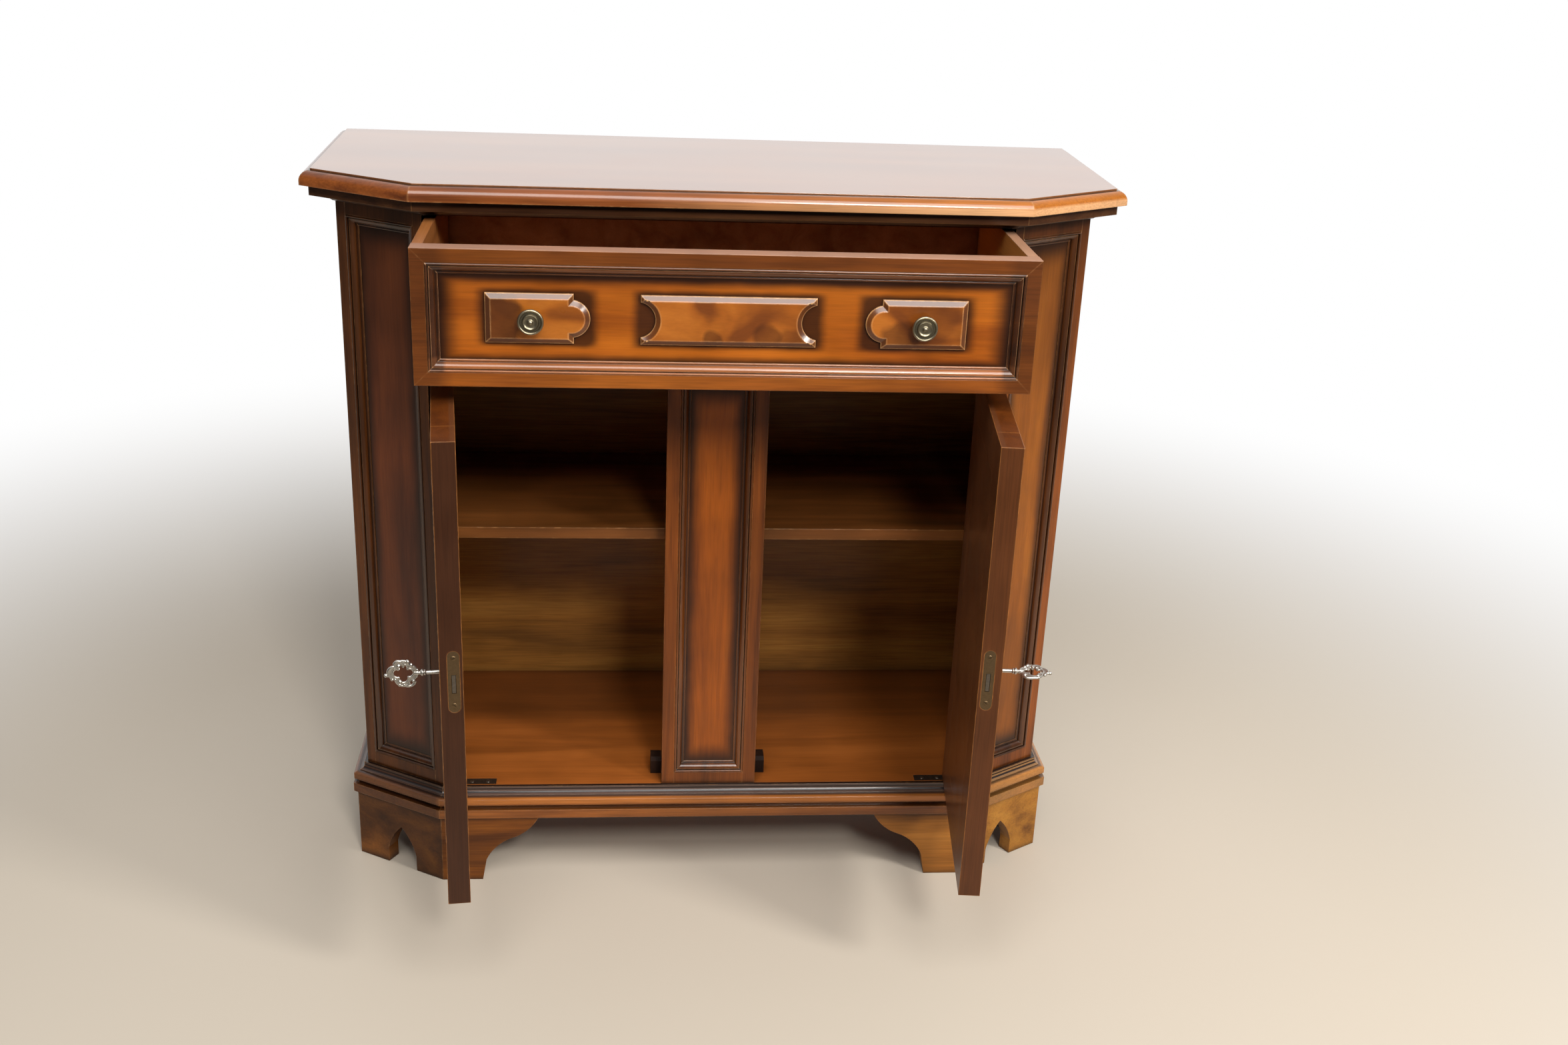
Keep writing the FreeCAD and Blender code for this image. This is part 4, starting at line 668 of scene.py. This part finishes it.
# Drawer knobs: foot, neck, beaded rim, sunk ring, ridged disc and button
knobLook = {"segments": 56, "bolt": (-17.4, 2.0), "headRadius": 13.2,
            # distance out and radius, in mm
            "profile": ((0, 2.0), (0, 7.6), (0.5, 8.0), (1.6, 8.0), (2.1, 7.5), (2.8, 6.2), (4.4, 5.2),
                        (6.6, 5.0), (7.6, 5.6), (8.2, 7.4), (8.6, 10.4), (9.2, 11.9), (10.2, 12.9),
                        (11.4, 13.2), (12.5, 12.9), (13.1, 12.2), (13.2, 11.6), (12.9, 11.0), (12.2, 10.6),
                        (11.8, 10.2), (11.8, 8.3), (12.4, 8.0), (13.5, 7.8), (14.0, 7.3), (14.0, 6.7),
                        (13.6, 6.2), (13.2, 5.6), (13.1, 3.2), (13.5, 2.6), (14.5, 2.2), (15.1, 1.6),
                        (15.4, 0.8), (15.5, 0.2))}
knobLow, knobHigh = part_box("drawer_knobs")
knobReach = (knobHigh.x - knobLow.x) / 2 - knobLook["headRadius"] * mm
knobHeight = (knobLow.z + knobHigh.z) / 2
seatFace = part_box("drawer_left_plaque")[0].y
knobs = []
for side in (-1, 1):
    knob = turnOut((knobLook["bolt"],) + knobLook["profile"], knobLook["segments"])
    origin = Vector((side * knobReach, seatFace, knobHeight))
    setPiece(knob, axesPlace(origin, -rearward, upward), "knob")
    knobs.append(knob)
knobPair = joinPieces(knobs)
knobPair.name = "turned_knobs"
paint(agedBrass, knobPair)
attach(knobPair, "drawer")
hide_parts("drawer_knobs")
print("knobs done")


# Keys: a cast bow of ridged C-scrolls round a four-lobed opening, on a turned shank
keyLook = {"segments": 24, "tubeSides": 12, "stepDegrees": 10, "fewestSteps": 8, "ballSides": (16, 10),
           "eye": 36.0, "lobeReach": 5.6,
           # distance out and radius, in mm
           "shank": ((-17, 2.4), (-16.6, 2.7), (-9, 2.7), (-8.4, 2.1), (13.4, 2.1), (13.8, 2.7), (14.6, 3.1),
                     (15.4, 2.6), (15.8, 2.3), (16.2, 3.3), (17.2, 3.6), (18.2, 3.3), (18.6, 2.4),
                     (19.4, 2.0), (20.4, 2.2), (21.6, 2.6), (23.2, 2.4), (25.5, 1.8)),
           # the bit: along, up and thickness
           "bit": ((-17.0, -11.4), (-8.5, -1.5), 2.2),
           # each lobe: which way it faces and how far its outer ridges swing round, in degrees
           "lobes": ((4, 16), (88, -24), (176, 10), (268, 22)),
           # each ridge: radius, tube, sweep
           "ridges": ((5.0, 1.2, 222), (6.8, 1.0, 170), (8.5, 1.3, 136)),
           # each outer scroll: middle along and up from the eye, radius, tube, start, sweep
           "scrolls": ((4.3, 9.4, 4.6, 1.5, 10, 200), (8.6, 1.2, 6.8, 1.5, -35, 140),
                       (-5.0, -7.6, 7.2, 1.4, 195, 120)),
           # each curl or leaf tip: place along and up from the eye, radius
           "balls": ((17.5, -1.6, 2.0), (15.4, -1.8, 1.7), (4.6, 8.6, 2.1), (8.4, 6.0, 1.8),
                     (-4.8, 13.0, 2.3), (-8.0, 9.2, 2.2), (-9.8, -8.8, 2.1), (4.1, -13.0, 1.7),
                     (3.6, -9.4, 2.2), (-13.6, 3.4, 1.7), (-13.2, -3.6, 1.6), (11.4, -6.4, 1.7)),
           "voxel": 0.28, "easing": (0.5, 2)}


def headingAt(degrees):
    return Vector((math.cos(math.radians(degrees)), 0, math.sin(math.radians(degrees))))


def tubeArc(middle, radius, tube, start, sweep):
    bpy.ops.object.select_all(action="DESELECT")
    begin = headingAt(start) * radius * mm + middle
    bpy.ops.mesh.primitive_circle_add(vertices=keyLook["tubeSides"], radius=tube * mm, fill_type="NOTHING",
                                      location=begin, rotation=(0, -math.radians(start), 0))
    bpy.ops.object.transform_apply(location=True, rotation=True, scale=True)
    bpy.ops.object.mode_set(mode="EDIT")
    bpy.ops.mesh.select_all(action="SELECT")
    steps = max(keyLook["fewestSteps"], int(sweep / keyLook["stepDegrees"]))
    bpy.ops.mesh.spin(steps=steps, angle=math.radians(sweep), center=middle, axis=(0, 1, 0))
    bpy.ops.mesh.select_all(action="SELECT")
    bpy.ops.mesh.fill_holes(sides=0)
    bpy.ops.mesh.normals_make_consistent(inside=False)
    bpy.ops.object.mode_set(mode="OBJECT")
    return bpy.context.object


def castBow(look):
    eye = Vector((look["eye"] * mm, 0, 0))
    parts = []
    for facing, swing in look["lobes"]:
        middle = eye + headingAt(facing) * look["lobeReach"] * mm
        for step, (radius, tube, sweep) in enumerate(look["ridges"]):
            parts.append(tubeArc(middle, radius, tube, facing + swing * step / 2 - sweep / 2, sweep))
    for along, high, radius, tube, start, sweep in look["scrolls"]:
        parts.append(tubeArc(eye + Vector((along, 0, high)) * mm, radius, tube, start, sweep))
    segments, rings = look["ballSides"]
    for along, high, radius in look["balls"]:
        bpy.ops.object.select_all(action="DESELECT")
        bpy.ops.mesh.primitive_uv_sphere_add(segments=segments, ring_count=rings, radius=radius * mm,
                                             location=eye + Vector((along, 0, high)) * mm)
        bpy.ops.object.transform_apply(location=True, rotation=True, scale=True)
        parts.append(bpy.context.object)
    return joinPieces(parts)


def castKey(look):
    bow = castBow(look)
    shank = turnOut(look["shank"], look["segments"])
    (near, far), (low, high), thick = look["bit"]
    bpy.ops.object.select_all(action="DESELECT")
    bpy.ops.mesh.primitive_cube_add(size=1, location=((near + far) / 2 * mm, 0, (low + high) / 2 * mm),
                                    scale=((far - near) * mm, thick * mm, (high - low) * mm))
    bpy.ops.object.transform_apply(location=True, rotation=True, scale=True)
    whole = joinPieces([bow, shank, bpy.context.object])
    fused = whole.modifiers.new("cast", "REMESH")       # makes one casting of the joined forms
    fused.mode = "VOXEL"
    fused.voxel_size = look["voxel"] * mm
    bpy.ops.object.modifier_apply(modifier=fused.name)
    eased = whole.modifiers.new("eased", "SMOOTH")
    eased.factor, eased.iterations = look["easing"]
    bpy.ops.object.modifier_apply(modifier=eased.name)
    return whole


firstKey = castKey(keyLook)
for side, flat in (("left", False), ("right", True)):
    joint = joints[side + "_key_turn"]
    outward = Vector(joint["axis"]).normalized()
    bowTop = upward.cross(outward) if flat else upward
    key = copyOf(firstKey)
    setPiece(key, axesPlace(Vector(joint["pos_m"]), outward, bowTop), side + "_scrolled_key")
    paint(keyNickel, key)
    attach(key, side + "_key")
    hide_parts(side + "_key")
bpy.data.objects.remove(firstKey)
print("keys done")


# Slotted screws in the lock plates and the pivot plates
screwLook = {"segments": 20, "crown": 0.45, "slot": (1.0, 7.0, 0.7),
             # distance out and radius, in mm
             "profile": ((-1.2, 1.4), (-0.4, 2.5), (0.05, 2.6), (0.3, 2.3), (0.42, 1.5), (0.45, 0.3)),
             # lock plate: its middle from the key's axis, then each screw's height and turn in degrees
             "lockSetback": 25, "lockDepth": 14, "lockSpots": ((26.5, 25), (-26.5, -40)),
             # pivot plate: its length, the screws' line behind its front, and their places along it
             "plateLength": 60, "plateLine": 7.6, "plateSpots": (10, 29, 47), "turnPerMm": 7,
             "turnPerSide": 20}


def slottedScrew(look):
    screw = turnOut(look["profile"], look["segments"])
    deep, longWay, wide = look["slot"]
    bpy.ops.object.select_all(action="DESELECT")
    bpy.ops.mesh.primitive_cube_add(size=1, location=(look["crown"] * mm, 0, 0),
                                    scale=(deep * mm, longWay * mm, wide * mm))
    cutter = bpy.context.object
    cutter.select_set(False)
    screw.select_set(True)
    bpy.context.view_layer.objects.active = screw
    sawn = screw.modifiers.new("slot", "BOOLEAN")
    sawn.operation = "DIFFERENCE"
    sawn.solver = "EXACT"
    sawn.object = cutter
    bpy.ops.object.modifier_apply(modifier=sawn.name)
    bpy.data.objects.remove(cutter)
    return screw


firstScrew = slottedScrew(screwLook)


def screwAt(origin, outward, topWay, degrees):
    screw = copyOf(firstScrew)
    turned = Matrix.Rotation(math.radians(degrees), 4, "X")
    setPiece(screw, axesPlace(origin, outward, topWay) @ turned, "screw")
    return screw


for side in ("left", "right"):
    edgeOut = Vector(joints[side + "_bolt_slide"]["axis"]).normalized()
    keyOut = Vector(joints[side + "_key_turn"]["axis"]).normalized()
    keyPlace = Vector(joints[side + "_key_turn"]["pos_m"])
    plateMiddle = keyPlace + edgeOut * screwLook["lockSetback"] * mm - keyOut * screwLook["lockDepth"] * mm
    screws = [screwAt(plateMiddle + upward * height * mm, edgeOut, upward, degrees)
              for height, degrees in screwLook["lockSpots"]]
    pair = joinPieces(screws)
    pair.name = side + "_lock_screws"
    paint(plateBrass, pair)
    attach(pair, side + "_door")

plateLow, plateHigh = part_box("carcass_hinge_plates")
plateInner = plateHigh.x - screwLook["plateLength"] * mm
screwLine = plateLow.y + screwLook["plateLine"] * mm
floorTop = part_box("floor_board")[1].z
hingeScrews = []
for side in (-1, 1):
    for spot in screwLook["plateSpots"]:
        origin = Vector((side * (plateInner + spot * mm), screwLine, floorTop))
        degrees = spot * screwLook["turnPerMm"] + side * screwLook["turnPerSide"]
        hingeScrews.append(screwAt(origin, upward, right, degrees))
hingeSet = joinPieces(hingeScrews)
hingeSet.name = "pivot_plate_screws"
paint(screwSteel, hingeSet)
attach(hingeSet, "carcass")
bpy.data.objects.remove(firstScrew)
print("screws done")


# Floor: pale and matt, white to the camera far off, and white in reflections behind the cabinet
floorLook = {"size": 60.0, "drop": 0.0005, "colour": "#C2B8AA", "speckle": 60.0, "speckleDetail": 4.0,
             "rough": (0.5, 0.62), "specular": 0.2, "farFrom": 0.8, "farTo": 2.2, "behind": (0.5, 1.4),
             "front": (-0.4, -1.2), "dim": 0.85}
white = (1, 1, 1, 1)
black = (0, 0, 0, 1)


def paleFloor(look):
    material, tree, place = newMaterial("pale_studio_floor")
    speckle = addNode(tree, "TexNoise", {"Vector": place, "Scale": look["speckle"],
                                         "Detail": look["speckleDetail"]}).outputs[0]
    smooth, coarse = look["rough"]
    rough = addNode(tree, "MapRange", {0: speckle, 3: smooth, 4: coarse}).outputs[0]
    rays = addNode(tree, "LightPath")
    depth = addNode(tree, "SeparateXYZ", {0: place}).outputs["Y"]
    # the floor in front is dark in reflections, so upright faces mirror little of it
    frontFrom, frontTo = look["front"]
    front = addNode(tree, "MapRange", {0: depth, 1: frontFrom, 2: frontTo, 3: 0.0, 4: look["dim"]}).outputs[0]
    dimmed = addNode(tree, "Math", {0: front, 1: rays.outputs["Is Glossy Ray"]},
                     operation="MULTIPLY").outputs[0]
    colour = addNode(tree, "Mix", {0: dimmed, 6: linearColour(look["colour"]), 7: black},
                     data_type="RGBA").outputs[2]
    matt = addNode(tree, "BsdfPrincipled", {"Base Color": colour, "Roughness": rough,
                                            "Specular IOR Level": look["specular"]})
    glow = addNode(tree, "Emission", {"Color": white, "Strength": 1.0})
    reach = addNode(tree, "VectorMath", {0: place}, operation="LENGTH").outputs["Value"]
    far = addNode(tree, "MapRange", {0: reach, 1: look["farFrom"], 2: look["farTo"], 3: 0.0, 4: 1.0},
                  interpolation_type="SMOOTHSTEP").outputs[0]
    behindFrom, behindTo = look["behind"]
    behind = addNode(tree, "MapRange", {0: depth, 1: behindFrom, 2: behindTo, 3: 0.0, 4: 1.0}).outputs[0]
    seen = addNode(tree, "Math", {0: far, 1: rays.outputs["Is Camera Ray"]}, operation="MULTIPLY").outputs[0]
    mirrored = addNode(tree, "Math", {0: behind, 1: rays.outputs["Is Glossy Ray"]},
                       operation="MULTIPLY").outputs[0]
    share = addNode(tree, "Math", {0: seen, 1: mirrored}, operation="MAXIMUM").outputs[0]
    showSurface(tree, addNode(tree, "MixShader", {0: share, 1: matt.outputs[0], 2: glow.outputs[0]}))
    return material


bpy.ops.object.select_all(action="DESELECT")
bpy.ops.mesh.primitive_plane_add(size=floorLook["size"], location=(0, 0, -floorLook["drop"]))
floor = bpy.context.object
floor.name = "studio_floor"
paint(paleFloor(floorLook), floor)

# World: white to the camera, pale behind and above in reflections, and faint as a light
worldLook = {"frontGlow": 0.04, "backGlow": 1.0, "backCut": (-0.1, 0.7), "ceilingGlow": 0.7,
             "ceilingCut": (0.45, 0.85), "ambient": 0.3}


def lightWorld(look):
    world = bpy.data.worlds.new("studio_world")
    world.use_nodes = True
    tree = world.node_tree
    tree.nodes.clear()
    heading = addNode(tree, "SeparateXYZ", {0: addNode(tree, "TexCoord").outputs["Generated"]})
    backLow, backHigh = look["backCut"]
    paleBack = addNode(tree, "MapRange", {0: heading.outputs["Y"], 1: backLow, 2: backHigh,
                                          3: look["frontGlow"], 4: look["backGlow"]},
                       interpolation_type="SMOOTHSTEP").outputs[0]
    ceilingLow, ceilingHigh = look["ceilingCut"]
    paleTop = addNode(tree, "MapRange", {0: heading.outputs["Z"], 1: ceilingLow, 2: ceilingHigh, 3: 0.0,
                                         4: look["ceilingGlow"]}, interpolation_type="SMOOTHSTEP").outputs[0]
    pale = addNode(tree, "Math", {0: paleBack, 1: paleTop}, operation="MAXIMUM").outputs[0]
    rays = addNode(tree, "LightPath")
    shiny = addNode(tree, "Math", {0: rays.outputs["Is Glossy Ray"], 1: rays.outputs["Is Transmission Ray"]},
                    operation="MAXIMUM").outputs[0]
    share = addNode(tree, "MapRange", {0: shiny, 3: look["ambient"], 4: 1.0}).outputs[0]
    glow = addNode(tree, "Math", {0: pale, 1: share}, operation="MULTIPLY").outputs[0]
    strength = addNode(tree, "Math", {0: glow, 1: rays.outputs["Is Camera Ray"]},
                       operation="MAXIMUM").outputs[0]
    backdrop = addNode(tree, "Background", {"Color": white, "Strength": strength})
    addNode(tree, "OutputWorld", {"Surface": backdrop.outputs[0]})
    return world


bpy.context.scene.world = lightWorld(worldLook)

# Lamps: a front key, a small one from the right, a wide panel overhead and a faint bounce from behind
lampLook = {
    "key_lamp": {"at": (0.88, -4.0, 3.4), "aim": (0.0, -0.05, 0.45), "size": (0.8, 0.8), "power": 105.0,
                 "colour": (1, 0.97, 0.92), "mirrored": True},
    "right_lamp": {"at": (2.0, -1.6, 2.0), "aim": (0.2, -0.05, 0.3), "size": (0.5, 0.5), "power": 50.0,
                   "colour": (1, 0.97, 0.92), "mirrored": True},
    "overhead_panel": {"at": (0.1, -1.65, 2.75), "aim": (0.05, -0.1, 0.4), "size": (2.4, 1.3), "power": 72.0,
                       "colour": (1, 0.98, 0.95), "mirrored": True},
    "wall_bounce": {"at": (-0.3, 2.6, 2.0), "aim": (0.0, 0.1, 0.5), "size": (2.0, 2.0), "power": 18.0,
                    "colour": (0.96, 0.98, 1), "mirrored": False},
}
for name, look in lampLook.items():
    bpy.ops.object.light_add(type="AREA", location=look["at"])
    lamp = bpy.context.object
    lamp.name = name
    lamp.data.shape = "RECTANGLE"
    lamp.data.size, lamp.data.size_y = look["size"]
    lamp.data.energy = look["power"]
    lamp.data.color = look["colour"]
    lamp.visible_glossy = look["mirrored"]
    lamp.rotation_euler = (Vector(look["aim"]) - Vector(look["at"])).to_track_quat("-Z", "Y").to_euler()

# Camera: at the photo's angle
cameraLook = {"at": (-0.104946, -1.800372, 1.19171), "turn": (67.8727, -2.3959, -4.9396), "lens": 38.57,
              "sensor": 36.0}
bpy.ops.object.camera_add(location=cameraLook["at"])
camera = bpy.context.object
camera.name = "front_camera"
camera.rotation_euler = Euler([math.radians(angle) for angle in cameraLook["turn"]], "XYZ")
camera.data.lens = cameraLook["lens"]
camera.data.sensor_width = cameraLook["sensor"]
camera.data.sensor_fit = "HORIZONTAL"
bpy.context.scene.camera = camera
bpy.context.scene.view_settings.view_transform = "Standard"
print("stage done")
